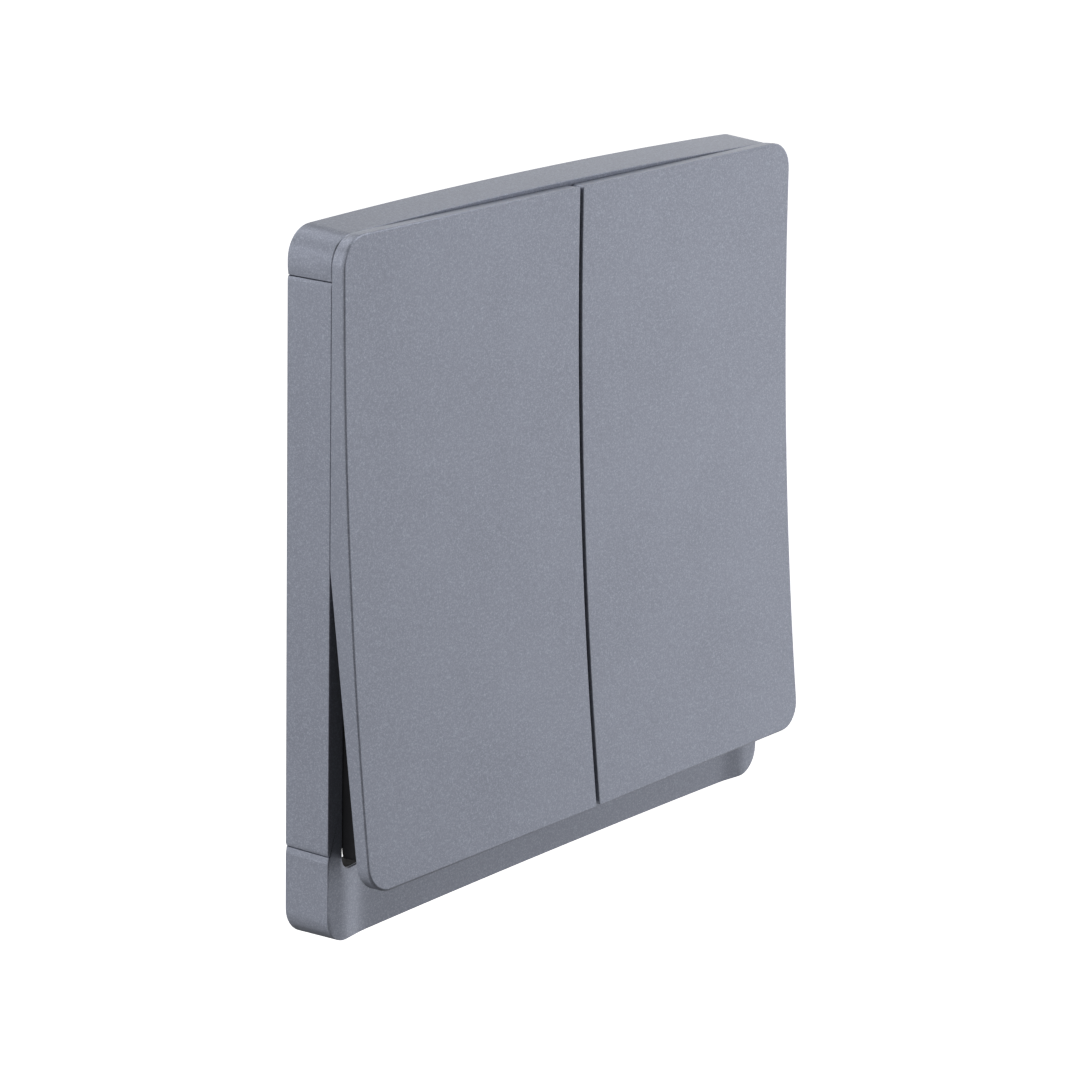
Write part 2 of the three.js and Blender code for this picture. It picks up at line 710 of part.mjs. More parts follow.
const SIDES = [['left', -1], ['right', 1]];
const model = new THREE.Group();
model.add(
  node('cover_frame', 'paint', coverFrame()),
  node('mounting_bridge', 'zinc', mountingBridge()),
  node('rocker_carrier', 'darkPlastic', rockerCarrier()),
);

const mechanism = new THREE.Group();
mechanism.position.z = PIVOT_Z;
mechanism.add(
  node('module_housing', 'whitePlastic', moduleHousing()),
  node('module_cover', 'greyPlastic', moduleCover()),
);
model.add(mechanism);

const CORNER_NAMES = ['top_left', 'top_right', 'bottom_left', 'bottom_right'];
corners().forEach(([x, z], i) => {
  const screw = node(`module_screw_${CORNER_NAMES[i]}`, 'zinc', moduleScrew());
  screw.position.set(x, 0, z);
  mechanism.add(screw);
});

for (const [name, side] of SIDES) {
  const x = side * GANG_X;

  // Everything that turns with the button.
  const rocker = new THREE.Group();
  rocker.position.y = PIVOT_Y;
  rocker.rotation.x = -TILT;
  rocker.add(node(`rocker_button_${name}`, 'paint', rockerButton(side)));
  const core = new THREE.Group();
  core.position.x = x;
  core.add(
    node(`actuator_${name}`, 'acetal', actuator()),
    node(`plunger_${name}`, 'redNylon', plunger()),
    node(`plunger_spring_${name}`, 'springSteel', plungerSpring()),
  );
  rocker.add(core);
  mechanism.add(rocker);

  // The seesaw leans the other way and closes the lower contact.
  const seesaw = new THREE.Group();
  seesaw.position.set(x, SEESAW_Y, 0);
  seesaw.rotation.x = SEESAW_TILT;
  seesaw.add(node(`seesaw_contact_${name}`, 'copper', seesawContact()));
  mechanism.add(seesaw);

  const fixed = new THREE.Group();
  fixed.position.x = x;
  fixed.add(node(`common_terminal_${name}`, 'brass', commonTerminal(CLAMP_X)));
  mechanism.add(fixed);

  for (const [level, way] of [['upper', 1], ['lower', -1]]) {
    const moving = node(`seesaw_rivet_${name}_${level}`, 'silver', contactRivet(1.05, 0.65, -1));
    moving.position.z = way * RIVET_Z;
    seesaw.add(moving);
    const still = node(`fixed_rivet_${name}_${level}`, 'silver', contactRivet(10.4, 10.75, 12.1));
    still.position.z = way * RIVET_Z;
    fixed.add(still);
    fixed.add(node(`fixed_contact_${name}_${level}`, 'brass', fixedContact(way, -CLAMP_X)));
  }

  for (const place of clampPlaces(side)) {
    const way = Math.sign(place.z);
    const terminal = new THREE.Group();
    terminal.position.set(place.x, 0, place.z);
    terminal.add(
      node(`terminal_clamp_${name}_${place.role}`, 'brass', terminalClamp(way)),
      node(`terminal_screw_${name}_${place.role}`, 'zinc', terminalScrew(way)),
    );
    mechanism.add(terminal);
  }
}

export default model;
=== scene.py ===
"""Looks of the two-gang rocker wall switch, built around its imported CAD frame.

Shapes are worked out in millimetres, in the CAD frame: +X to the right, +Y into the wall, +Z up.
"""

import json
from math import cos, pi, radians, sin, sqrt, tan

import bmesh
import bpy
from mathutils import Matrix, Vector


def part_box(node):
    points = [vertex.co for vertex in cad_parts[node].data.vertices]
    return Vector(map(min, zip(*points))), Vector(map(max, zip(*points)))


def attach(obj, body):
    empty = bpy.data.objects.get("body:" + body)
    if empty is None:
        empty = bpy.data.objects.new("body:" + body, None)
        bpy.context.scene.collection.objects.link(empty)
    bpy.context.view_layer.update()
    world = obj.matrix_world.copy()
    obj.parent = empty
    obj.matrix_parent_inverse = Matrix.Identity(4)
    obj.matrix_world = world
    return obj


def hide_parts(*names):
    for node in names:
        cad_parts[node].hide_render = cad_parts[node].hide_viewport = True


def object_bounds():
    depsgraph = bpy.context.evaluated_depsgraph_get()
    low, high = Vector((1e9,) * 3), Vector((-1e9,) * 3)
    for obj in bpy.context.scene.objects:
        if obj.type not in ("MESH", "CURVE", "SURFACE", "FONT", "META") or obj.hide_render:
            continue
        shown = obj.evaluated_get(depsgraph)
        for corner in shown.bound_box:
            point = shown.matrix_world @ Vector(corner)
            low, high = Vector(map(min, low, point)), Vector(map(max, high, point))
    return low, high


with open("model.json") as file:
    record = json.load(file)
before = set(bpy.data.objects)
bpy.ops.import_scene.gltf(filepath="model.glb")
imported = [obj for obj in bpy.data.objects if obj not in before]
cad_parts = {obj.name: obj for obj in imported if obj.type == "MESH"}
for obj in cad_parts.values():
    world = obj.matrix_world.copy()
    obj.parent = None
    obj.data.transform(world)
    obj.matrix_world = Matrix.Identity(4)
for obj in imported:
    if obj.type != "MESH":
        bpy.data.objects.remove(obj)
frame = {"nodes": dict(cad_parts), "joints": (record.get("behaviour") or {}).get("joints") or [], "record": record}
cad_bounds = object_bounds()
MM = 0.001

# ---------------------------------------------------------------- camera

# These values were fitted to the switch's outline as the camera sees it.
CAMERA_AZIMUTH = radians(-51.245)
CAMERA_ELEVATION = radians(16.074)
CAMERA_ROLL = radians(1.222)
CAMERA_DISTANCE = 500.4
CAMERA_AIM = (2.36, -2.82)  # how far right of and above the frame's origin the camera's axis passes
CAMERA_LENS = 134.34
SENSOR = 36.0


def make_camera():
    a, e, r = CAMERA_AZIMUTH, CAMERA_ELEVATION, CAMERA_ROLL
    back = Vector((sin(a) * cos(e), -cos(a) * cos(e), sin(e)))
    right = Vector((cos(a), sin(a), 0))
    up = back.cross(right)
    x_axis = cos(r) * right + sin(r) * up
    y_axis = -sin(r) * right + cos(r) * up
    centre = CAMERA_AIM[0] * x_axis + CAMERA_AIM[1] * y_axis + CAMERA_DISTANCE * back
    data = bpy.data.cameras.new("camera")
    data.lens = CAMERA_LENS
    data.sensor_width = SENSOR
    data.clip_start = 0.01
    data.clip_end = 20
    camera = bpy.data.objects.new("camera", data)
    bpy.context.scene.collection.objects.link(camera)
    turn = Matrix((x_axis, y_axis, back)).transposed()
    camera.matrix_world = Matrix.Translation(centre * MM) @ turn.to_4x4()
    bpy.context.scene.camera = camera


make_camera()

# ---------------------------------------------------------------- sizes


def joint(name):
    return next(j for j in frame["joints"] if j["name"] == name)


def node_box(name):
    """The lowest and highest corners of a CAD node, in millimetres."""
    low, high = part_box(name)
    return low / MM, high / MM


SIDES = {"left": -1, "right": 1}
frame_low, frame_high = node_box("cover_frame")
_, PIVOT_Y, PIVOT_Z = (v / MM for v in joint("rocker_left_tilt")["pos_m"])
TILT = radians(joint("rocker_left_tilt")["range_deg"][1] / 2)

# Cover frame
HALF = frame_high.x
FRONT = frame_low.y
CROWN = frame_high.z - HALF
CORNER = 3.6
BEAM = 2.8
OPENING_BOTTOM = -33.8
OPENING_TOP = 40.5
OPENING_CORNER = 1.5
RAMP_TOP = HALF - 2.5
RAMP_FOOT = RAMP_TOP - 5.3
RAMP_DROP = 0.5
DISH = 0.4
FRAME_EDGE = 0.13
STRIP_EDGE = 0.06  # the edge is crisper around the strip
EDGE_BLEND = 4
SHADE_START_DEPTH = 0.3  # how far into the opening the paint runs at the strip before the painted shade of near-black plastic begins
FLARE = 0.1  # the outline is this much larger at the back
DRAFT = 0.25  # and this much smaller at the front
REAR_EDGE = 0.25
OPENING_REAR_EDGE = 0.2
FRONT_ROWS = 7
SIDE_STEPS = 24
CORNER_STEPS = 10
# Grooves across the side faces: the crease's height, and then (height above it, depth) from lip to lip
UPPER_GROOVE = (37.5, [(-0.55, 0), (-0.3, 0.03), (-0.08, 0.1), (0, 0.34), (0.08, 0.12), (0.5, 0.05),
                       (0.95, 0)])
LOWER_GROOVE = (-31.5, [(-0.95, 0), (-0.8, 0.02), (-0.08, 0.15), (0, 0.34), (0.08, 0.12), (0.3, 0.04),
                        (0.5, 0)])
GROOVE_MARGIN = 0.6  # the outline's other points stay this far from a groove

# The strip's hollow back, and the lugs that hook behind the carrier
LIP = OPENING_BOTTOM - 1.2
POCKET_FLOOR = 1.8 - HALF
POCKET_FRONT = -4.2
POCKET_HALF = HALF - BEAM + 0.65
RIBS_AT = (-24.6, -8.6, 8.6, 24.6)
RIB_HALF = 0.5
PASSAGE_FRONT = -3.4
PASSAGE_OVERLAP = 0.9
LUG_REACH = 38
LUG_HALF = 3
LUG_DEPTH = (-1.1, -0.3)
LUG_HEIGHTS = (-16, 22)

# Rocker buttons, from their axis
FACE_MID = 9.7 + PIVOT_Y
FACE_CURVE = 0.0008
ROCKER_HALF = 38.95
ROCKER_OUTER = 42.85
SEAM_HALF = 0.33
SEAM_CORNER = 0.45
EDGE = 0.32
SEAM_CRISPNESS = 0.25  # the edge along the seam is rounded this much less
REST_GAP = 0.13  # between the frame and the pressed half of a rocker
SKIN = 1.5
RIM = 1.2
SKIRT_HALF = 36.3
SKIRT_OUTER = 39.95
SKIRT_THICK = 1.1
SKIRT_REACH = 5.05
SKIRT_CORNER = 0.7
SKIRT_INNER_CORNER = 0.3
SKIRT_START = 2.2
SKIRT_END_ROUND = 0.25
ROOT = SKIN - 0.3  # how deep in the skin the parts behind it begin
STEPS_UP = 14
GANG_X = 10.9

# Behind a button: stiffening ribs, the arm with its journal, and the clips on the actuator
RIB_HEIGHTS = (-26, -15, 15, 26)
RIB_SPAN = (1.2, 39.3)
RIB_DEPTH = 0.9
ARM_SPAN = (34.3, 35.6)
ARM_HALF = 1.9
ARM_END = 1.5
GUSSET_AT = 2.6
GUSSET_HALF = 1.4
GUSSET_DEPTH = 1.6
JOURNAL_R = 1.4
JOURNAL_SPAN = (35, 38.1)
CLIP_AT = 5.5
CLIP_THICK = 1.1
CLIP_SPAN = (5.5, 9)
CLIP_END = -0.5
HOOK_DEPTH = (-0.95, -0.3)
HOOK_REACH = 0.8
HOOK_SETBACK = 0.12
HOOK_EXTRA = 0.08

# ---------------------------------------------------------------- mesh helpers, in millimetres

MERGE = 1e-4  # vertices that are closer than this become one


def spread(way, near, far):
    """A span along an axis to one side of the middle, in rising order."""
    return sorted((way * near, way * far))


def round_over(radius, steps):
    """A quarter round: (inset, depth) from the flat face, inset by radius, to the side face."""
    angles = [pi / 2 * i / steps for i in range(steps + 1)]
    return [(radius * (1 - sin(a)), radius * (1 - cos(a))) for a in angles]


def skin(rows, closed=False):
    """A surface through rows of points, loops of equal length. closed joins the last row to the first."""
    bm = bmesh.new()
    rings = [[bm.verts.new(p) for p in row] for row in rows]
    pairs = list(zip(rings, rings[1:]))
    if closed:
        pairs.append((rings[-1], rings[0]))
    for low, high in pairs:
        for i in range(len(low)):
            k = (i + 1) % len(low)
            bm.faces.new((low[i], low[k], high[k], high[i]))
    return bm, rings


def block(x, y, z, edge=0.15, segments=2):
    bm = bmesh.new()
    bmesh.ops.create_cube(bm, size=1)
    size = [abs(b - a) for a, b in (x, y, z)]
    centre = Vector([(a + b) / 2 for a, b in (x, y, z)])
    bm.transform(Matrix.Translation(centre) @ Matrix.Diagonal((*size, 1)))
    if edge:
        bmesh.ops.bevel(bm, geom=bm.edges, offset=min(edge, min(size) * 0.45), segments=segments,
                        profile=0.5, affect="EDGES")
    return bm


def lathe(profile, axis, centre, sides=32):
    """A closed turned solid: profile is (radius, place along the axis), its ends on the axis."""
    bm = bmesh.new()
    rings = []
    for radius, place in profile:
        count = 1 if radius == 0 else sides
        ring = []
        for i in range(count):
            a = 2 * pi * i / sides
            u, v = radius * cos(a), radius * sin(a)
            point = {"x": (place, u, v), "y": (u, place, v), "z": (u, v, place)}[axis]
            ring.append(bm.verts.new(Vector(point) + Vector(centre)))
        rings.append(ring)
    for low, high in zip(rings, rings[1:]):
        for i in range(sides):
            k = (i + 1) % sides
            corners = [low[i % len(low)], low[k % len(low)], high[k % len(high)], high[i % len(high)]]
            corners = list(dict.fromkeys(corners))
            if len(corners) > 2:
                bm.faces.new(corners)
    bmesh.ops.recalc_face_normals(bm, faces=bm.faces)
    return bm


def rod(radius, ends, axis, centre, edge=0.1, sides=32):
    """A round bar with rounded rims."""
    low, high = sorted(ends)
    rim = [(radius - inset, low + depth) for inset, depth in round_over(edge, 2)]
    top = [(r, high - (p - low)) for r, p in reversed(rim)]
    return lathe([(0, low), *rim, *top, (0, high)], axis, centre, sides)


def object_of(bm, name="scratch"):
    mesh = bpy.data.meshes.new(name)
    bmesh.ops.recalc_face_normals(bm, faces=bm.faces)
    bm.to_mesh(mesh)
    bm.free()
    result = bpy.data.objects.new(name, mesh)
    bpy.context.scene.collection.objects.link(result)
    return result


def combined(base, added=(), cut=()):
    """base joined with the added solids, and then cut by the others."""
    target = object_of(base)
    tools = []
    for operation, solids in (("UNION", added), ("DIFFERENCE", cut)):
        for solid in solids:
            tool = object_of(solid)
            tools.append(tool)
            modifier = target.modifiers.new(operation, "BOOLEAN")
            modifier.operation = operation
            modifier.solver = "EXACT"
            modifier.object = tool
    depsgraph = bpy.context.evaluated_depsgraph_get()
    result = bmesh.new()
    result.from_mesh(target.evaluated_get(depsgraph).to_mesh())
    for scratch in (target, *tools):
        mesh = scratch.data
        bpy.data.objects.remove(scratch)
        bpy.data.meshes.remove(mesh)
    bmesh.ops.remove_doubles(result, verts=result.verts, dist=MERGE)
    bmesh.ops.dissolve_degenerate(result, edges=result.edges, dist=MERGE)
    return result


def piece(name, bm, body, material, replaces=(), sharp=35, dark_faces=None):
    """Makes bm, in millimetres, a piece of the object. The last argument is a second material and which faces have
    it instead; the near-black plastic given there is painted shade inside the gaps.
    """
    if dark_faces:
        bm.normal_update()
        for face in bm.faces:
            face.material_index = int(dark_faces[1](face.calc_center_median(), face.normal))
    bm.transform(Matrix.Scale(MM, 4))
    result = object_of(bm, name)
    mesh = result.data
    mesh.polygons.foreach_set("use_smooth", [True] * len(mesh.polygons))
    mesh.set_sharp_from_angle(angle=radians(sharp))
    mesh.materials.append(material)
    if dark_faces:
        mesh.materials.append(dark_faces[0])
    weighted = result.modifiers.new("weighted_normals", "WEIGHTED_NORMAL")
    weighted.keep_sharp = True
    weighted.weight = 95
    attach(result, body)
    if replaces:
        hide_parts(*replaces)
    return result


# ---------------------------------------------------------------- materials

PAINT_TINT = (0.91, 0.97, 1.16)


class Shader:
    """A node material that is put together from procedural textures, with sizes in millimetres."""

    def __init__(self, name, **sockets):
        self.material = bpy.data.materials.new(name)
        self.material.use_nodes = True
        self.tree = self.material.node_tree
        self.bsdf = self.tree.nodes["Principled BSDF"]
        for socket, value in sockets.items():
            self.bsdf.inputs[socket.replace("_", " ").title().replace("Ior", "IOR")].default_value = value
        self.place = self.tree.nodes.new("ShaderNodeTexCoord").outputs["Object"]

    def add(self, kind, **values):
        node = self.tree.nodes.new(kind)
        for name, value in values.items():
            if hasattr(node, name):
                setattr(node, name, value)
            else:
                self.plug(value, node.inputs[name])
        return node

    def plug(self, value, socket):
        if isinstance(value, bpy.types.NodeSocket):
            self.tree.links.new(value, socket)
        else:
            socket.default_value = value

    def stretched(self, scale):
        return self.add("ShaderNodeMapping", Vector=self.place, Scale=scale).outputs["Vector"]

    def noise(self, size, detail=2.0, roughness=0.5, place=None):
        """Cloudy noise with features of about this size."""
        node = self.add("ShaderNodeTexNoise", Vector=place or self.place, Scale=1 / (size * MM),
                        Detail=detail, Roughness=roughness)
        return node.outputs["Fac"]

    def cells(self, size, place=None):
        """A random grey for each cell of about this size."""
        node = self.add("ShaderNodeTexVoronoi", Vector=place or self.place, Scale=1 / (size * MM))
        return self.add("ShaderNodeSeparateColor", Color=node.outputs["Color"]).outputs["Red"]

    def span(self, factor, low, high, start=0.0, end=1.0):
        """Maps factor from start..end to low..high."""
        node = self.add("ShaderNodeMapRange")
        for name, value in (("Value", factor), ("From Min", start), ("From Max", end),
                            ("To Min", low), ("To Max", high)):
            self.plug(value, node.inputs[name])
        return node.outputs["Result"]

    def mix(self, factor, a, b):
        node = self.tree.nodes.new("ShaderNodeMix")
        node.data_type = "RGBA"
        colours = [s for s in node.inputs if s.type == "RGBA"]
        self.plug(factor, node.inputs[0])
        self.plug(a, colours[0])
        self.plug(b, colours[1])
        return next(s for s in node.outputs if s.type == "RGBA")

    def colour(self, value):
        self.plug(value, self.bsdf.inputs["Base Color"])

    def roughness(self, value):
        self.plug(value, self.bsdf.inputs["Roughness"])

    def bump(self, height, depth, under=None):
        """Surface relief: height from 0 to 1 stands for depth millimetres."""
        node = self.add("ShaderNodeBump", Height=height, Distance=depth * MM, Strength=1.0)
        if under is not None:
            self.plug(under, node.inputs["Normal"])
        return node.outputs["Normal"]

    def normal(self, value):
        self.plug(value, self.bsdf.inputs["Normal"])


def grey(value, tint=(1, 1, 1)):
    return (value * tint[0], value * tint[1], value * tint[2], 1)


def paint_material():
    """Satin metallic spray paint: fine flakes, a faint orange peel and uneven cover at a large scale."""
    s = Shader("metallic_grey_paint", metallic=0.82, roughness=0.42, specular_ior_level=0.4)
    cloud = s.span(s.noise(14, 3), 0, 1, 0.35, 0.65)
    cover = s.mix(cloud, grey(0.286, PAINT_TINT), grey(0.308, PAINT_TINT))
    flakes = s.mix(s.span(s.cells(0.13), 0, 1, 0.45, 1.0), cover, grey(0.41, PAINT_TINT))
    grain = s.span(s.noise(0.3, 2, 0.7), 0, 1, 0.3, 0.7)
    s.colour(s.mix(s.span(grain, 0.55, 0.0), flakes, grey(0.24, PAINT_TINT)))
    s.roughness(s.span(s.noise(0.5, 2), 0.38, 0.48))
    peel = s.bump(s.noise(1.1, 2), 0.003)
    s.normal(s.bump(s.noise(0.16, 2), 0.0035, peel))
    return s.material


def moulded(name, low, high, roughness, sink=0.0, **sockets):
    """Moulded plastic: spark-eroded mould texture, flow marks and a faintly uneven colour."""
    s = Shader(name, roughness=roughness, **sockets)
    flow = s.noise(5, 4, place=s.stretched((1, 1, 0.35)))
    s.colour(s.mix(s.span(flow, 0, 1, 0.3, 0.7), (*low, 1), (*high, 1)))
    s.roughness(s.span(s.noise(1.6, 3), roughness - 0.08, roughness + 0.1, 0.3, 0.7))
    s.normal(s.bump(s.noise(0.12, 3), 0.004, s.bump(s.noise(2.5, 2), 0.006 + sink)))
    return s.material


def sheet_metal(name, clean, tarnished, roughness, grain=(9, 9, 0.6), spread=0.55):
    """Rolled sheet or drawn wire: a directional grain, small dents and tarnish in clouds."""
    s = Shader(name, metallic=1.0, roughness=roughness)
    lines = s.noise(0.9, 4, 0.6, place=s.stretched(grain))
    clouds = s.span(s.noise(3.2, 5, 0.6), 0, 1, spread, spread + 0.22)
    s.colour(s.mix(clouds, s.mix(lines, (*clean, 1), (*(0.86 * c for c in clean), 1)), (*tarnished, 1)))
    s.roughness(s.span(lines, roughness - 0.08, roughness + 0.14, 0.3, 0.7))
    s.normal(s.bump(lines, 0.004, s.bump(s.cells(0.7), 0.002)))
    return s.material


PAINT = paint_material()
FINISHES = {
    "paint": PAINT,
    "zinc_steel": sheet_metal("zinc_plated_steel", (0.66, 0.67, 0.69), (0.52, 0.55, 0.60), 0.34, (0.7, 9, 9)),
    "dark_plastic": moulded("dark_moulded_plastic", (0.022, 0.023, 0.026), (0.034, 0.035, 0.039), 0.5),
    "white_plastic": moulded("ivory_moulded_plastic", (0.74, 0.73, 0.68), (0.80, 0.79, 0.75), 0.46, 0.004),
    "grey_plastic": moulded("grey_moulded_plastic", (0.42, 0.43, 0.44), (0.48, 0.49, 0.50), 0.46, 0.004),
    "acetal": moulded("white_acetal", (0.82, 0.82, 0.78), (0.88, 0.88, 0.85), 0.3),
    "red_nylon": moulded("red_nylon", (0.36, 0.05, 0.035), (0.45, 0.075, 0.05), 0.36),
    "spring_steel": sheet_metal("spring_wire", (0.48, 0.49, 0.51), (0.33, 0.31, 0.29), 0.28, (5, 5, 5)),
    "brass": sheet_metal("stamped_brass", (0.74, 0.55, 0.25), (0.46, 0.31, 0.15), 0.3),
    "copper": sheet_metal("stamped_copper", (0.74, 0.42, 0.26), (0.40, 0.20, 0.13), 0.3),
    "silver": sheet_metal("contact_silver", (0.84, 0.83, 0.79), (0.58, 0.54, 0.45), 0.24, (3, 3, 3), 0.5),
}
# Near-black plastic for the backs and hollows, and painted shade on the opening's walls and the buttons' skirts,
# which are dark only because they lie in shade.
SHADE_AND_BACK_PLASTIC = moulded("dark_back_and_painted_shade_plastic", (0.011, 0.011, 0.013), (0.018, 0.018, 0.021), 0.68,
                       specular_ior_level=0.25)

# ---------------------------------------------------------------- cover frame


def groove_depth(z):
    for height, profile in (UPPER_GROOVE, LOWER_GROOVE):
        rise = z - height
        for (z0, d0), (z1, d1) in zip(profile, profile[1:]):
            if z0 <= rise <= z1:
                return d0 + (d1 - d0) * (rise - z0) / (z1 - z0)
    return 0.0


def arc(x, z, radius, start, end, steps=CORNER_STEPS):
    """Points on an arc, in degrees anticlockwise seen from the front, as (x, z, outward x, outward z)."""
    points = []
    for i in range(steps + 1):
        a = radians(start + (end - start) * i / steps)
        points.append((x + radius * cos(a), z + radius * sin(a), cos(a), sin(a)))
    return points


def frame_outlines():
    """Matching points around the frame's outside and around its opening, clockwise from the lower left."""
    reach = HALF - CORNER
    inner = HALF - BEAM
    across = inner - OPENING_CORNER
    low, high = OPENING_BOTTOM + OPENING_CORNER, OPENING_TOP - OPENING_CORNER
    heights = {round(-reach + 2 * reach * i / SIDE_STEPS, 4) for i in range(1, SIDE_STEPS)}
    for height, profile in (UPPER_GROOVE, LOWER_GROOVE):
        lowest, highest = profile[0][0] - GROOVE_MARGIN, profile[-1][0] + GROOVE_MARGIN
        nearby = {z for z in heights if lowest < z - height < highest}
        heights = (heights - nearby) | {round(height + rise, 4) for rise, _ in profile}
    heights = sorted(heights)
    spans = [reach * sin(pi / 2 * i / SIDE_STEPS) for i in range(1 - SIDE_STEPS, SIDE_STEPS)]
    outside, opening = [], []

    def level(z):
        return low + (high - low) * (z + reach) / (2 * reach)

    def corner(x_way, z_way, start):
        outside.extend(arc(x_way * reach, z_way * reach, CORNER, start, start - 90))
        z = high if z_way > 0 else low
        opening.extend(arc(x_way * across, z, OPENING_CORNER, start, start - 90))

    for z in heights:
        outside.append((-HALF + groove_depth(z), z, -1, 0))
        opening.append((-inner, level(z), -1, 0))
    corner(-1, 1, 180)
    for x in spans:
        outside.append((x, HALF + CROWN * (1 - (x / reach) ** 2), 0, 1))
        opening.append((x * across / reach, OPENING_TOP, 0, 1))
    corner(1, 1, 90)
    for z in reversed(heights):
        outside.append((HALF - groove_depth(z), z, 1, 0))
        opening.append((inner, level(z), 1, 0))
    corner(1, -1, 0)
    for x in reversed(spans):
        outside.append((x, -HALF, 0, -1))
        opening.append((x * across / reach, OPENING_BOTTOM, 0, -1))
    corner(-1, -1, -90)
    return outside, opening


def smoothstep(t):
    t = min(max(t, 0), 1)
    return t * t * (3 - 2 * t)


def front_depth(x, z):
    """The front face's place along Y: flat, but the strip below the opening is sunk between two ramps."""
    if abs(x) < RAMP_FOOT:
        drop = RAMP_DROP + DISH * (1 - (x / RAMP_FOOT) ** 2)
    else:
        drop = RAMP_DROP * smoothstep((RAMP_TOP - abs(x)) / (RAMP_TOP - RAMP_FOOT))
    on_strip = smoothstep((OPENING_BOTTOM + OPENING_CORNER - z) / OPENING_CORNER)
    return FRONT + drop * on_strip


def frame_section(outer, inner):
    """The closed outline of the frame's section between a point outside and one in the opening."""
    points = []

    def add(origin, inset, y_from_front=None, y=None):
        x, z, nx, nz = origin
        px, pz = x - nx * inset, z - nz * inset
        points.append((px, front_depth(px, pz) + y_from_front if y is None else y, pz))

    for inset, depth in round_over(REAR_EDGE, 2):
        add(outer, inset - FLARE, y=-depth)
    at_strip = smoothstep((OPENING_BOTTOM + OPENING_CORNER - outer[1]) / EDGE_BLEND)
    edge = FRAME_EDGE + (STRIP_EDGE - FRAME_EDGE) * at_strip
    for inset, depth in reversed(round_over(edge, 4)):
        add(outer, inset + DRAFT, y_from_front=depth)
    for i in range(1, FRONT_ROWS):
        t = i / FRONT_ROWS
        start_x, start_z = (outer[i] - outer[i + 2] * (edge + DRAFT) for i in (0, 1))
        end_x, end_z = (inner[i] + inner[i + 2] * FRAME_EDGE for i in (0, 1))
        x, z = start_x + (end_x - start_x) * t, start_z + (end_z - start_z) * t
        points.append((x, front_depth(x, z), z))
    for inset, depth in round_over(FRAME_EDGE, 3):
        add(inner, -inset, y_from_front=depth)
    # the row where the opening's painted shade begins
    add(inner, 0, y_from_front=SHADE_START_DEPTH)
    for inset, depth in reversed(round_over(OPENING_REAR_EDGE, 2)):
        add(inner, -inset, y=-depth)
    return points


def cover_frame():
    """The ring, with lugs, and with the strip hollowed into pockets that a passage joins to the opening."""
    sections = [frame_section(o, i) for o, i in zip(*frame_outlines())]
    ring, _ = skin(sections, closed=True)
    edges = [-POCKET_HALF, *RIBS_AT, POCKET_HALF]
    pockets = [
        block((a + RIB_HALF, b - RIB_HALF), (POCKET_FRONT, 1), (POCKET_FLOOR, LIP), 0.4, 3)
        for a, b in zip(edges, edges[1:])
    ]
    width = POCKET_HALF - RIB_HALF - 0.2
    passage = block((-width, width), (PASSAGE_FRONT, 1.2), (LIP - PASSAGE_OVERLAP, OPENING_BOTTOM + 0.6), 0.3)
    lugs = [
        block(spread(way, LUG_REACH, HALF - BEAM + 0.2), LUG_DEPTH, (z - LUG_HALF, z + LUG_HALF), 0.2)
        for way in (-1, 1) for z in LUG_HEIGHTS
    ]
    return combined(ring, lugs, [combined(passage, pockets)])


def frame_dark_faces(place, normal):
    """Faces that take the near-black plastic: the back, the strip's hollow, and the opening's walls past a short
    depth, where it is painted shade.
    """
    in_opening = abs(place.x) < HALF - BEAM + 0.05 and OPENING_BOTTOM - 0.05 < place.z < OPENING_TOP + 0.05
    below_opening = -HALF + 1 < place.z < OPENING_BOTTOM
    in_strip = place.y > POCKET_FRONT - 0.05 and abs(place.x) < HALF - 1 and below_opening
    return normal.y > 0.7 or in_strip or (in_opening and place.y > FRONT + RAMP_DROP + DISH + SHADE_START_DEPTH)


piece("cover_frame_shell", cover_frame(), "housing_assembly", PAINT, ["cover_frame"],
      dark_faces=(SHADE_AND_BACK_PLASTIC, frame_dark_faces))

# ---------------------------------------------------------------- rocker buttons


def face_y(z):
    return -FACE_MID - FACE_CURVE * z * z


def back_y(z):
    kink = (-FRONT + REST_GAP + PIVOT_Y) / cos(TILT)
    return -kink - tan(TILT) * abs(z)


def rocker_outline(side, inset, seam_inset=None):
    """The button's inset outline, up its outer edge and down the seam, as (x, z) at matching heights."""
    seam_inset = inset if seam_inset is None else seam_inset
    half = ROCKER_HALF - inset
    outer_radius = CORNER - inset
    seam_radius = max(SEAM_CORNER - inset, 0.05)
    straight = half - outer_radius
    ends = [straight + outer_radius * sin(radians(10 * i)) for i in range(10)]
    ends += [half - seam_radius + seam_radius * sin(radians(30 * i)) for i in range(3)]
    middle = [straight * i / STEPS_UP for i in range(1 - STEPS_UP, STEPS_UP)]
    heights = sorted([-z for z in ends] + middle + ends)

    def pulled_in(z, radius):
        over = max(abs(z) - (half - radius), 0)
        return radius - sqrt(max(radius * radius - over * over, 0))

    outer = [(side * (ROCKER_OUTER - inset - pulled_in(z, outer_radius)), z) for z in heights]
    stretch = (ROCKER_HALF - seam_inset) / half
    seam = [(side * (SEAM_HALF + seam_inset + pulled_in(z, seam_radius)), z * stretch) for z in heights]
    return outer + seam[::-1]


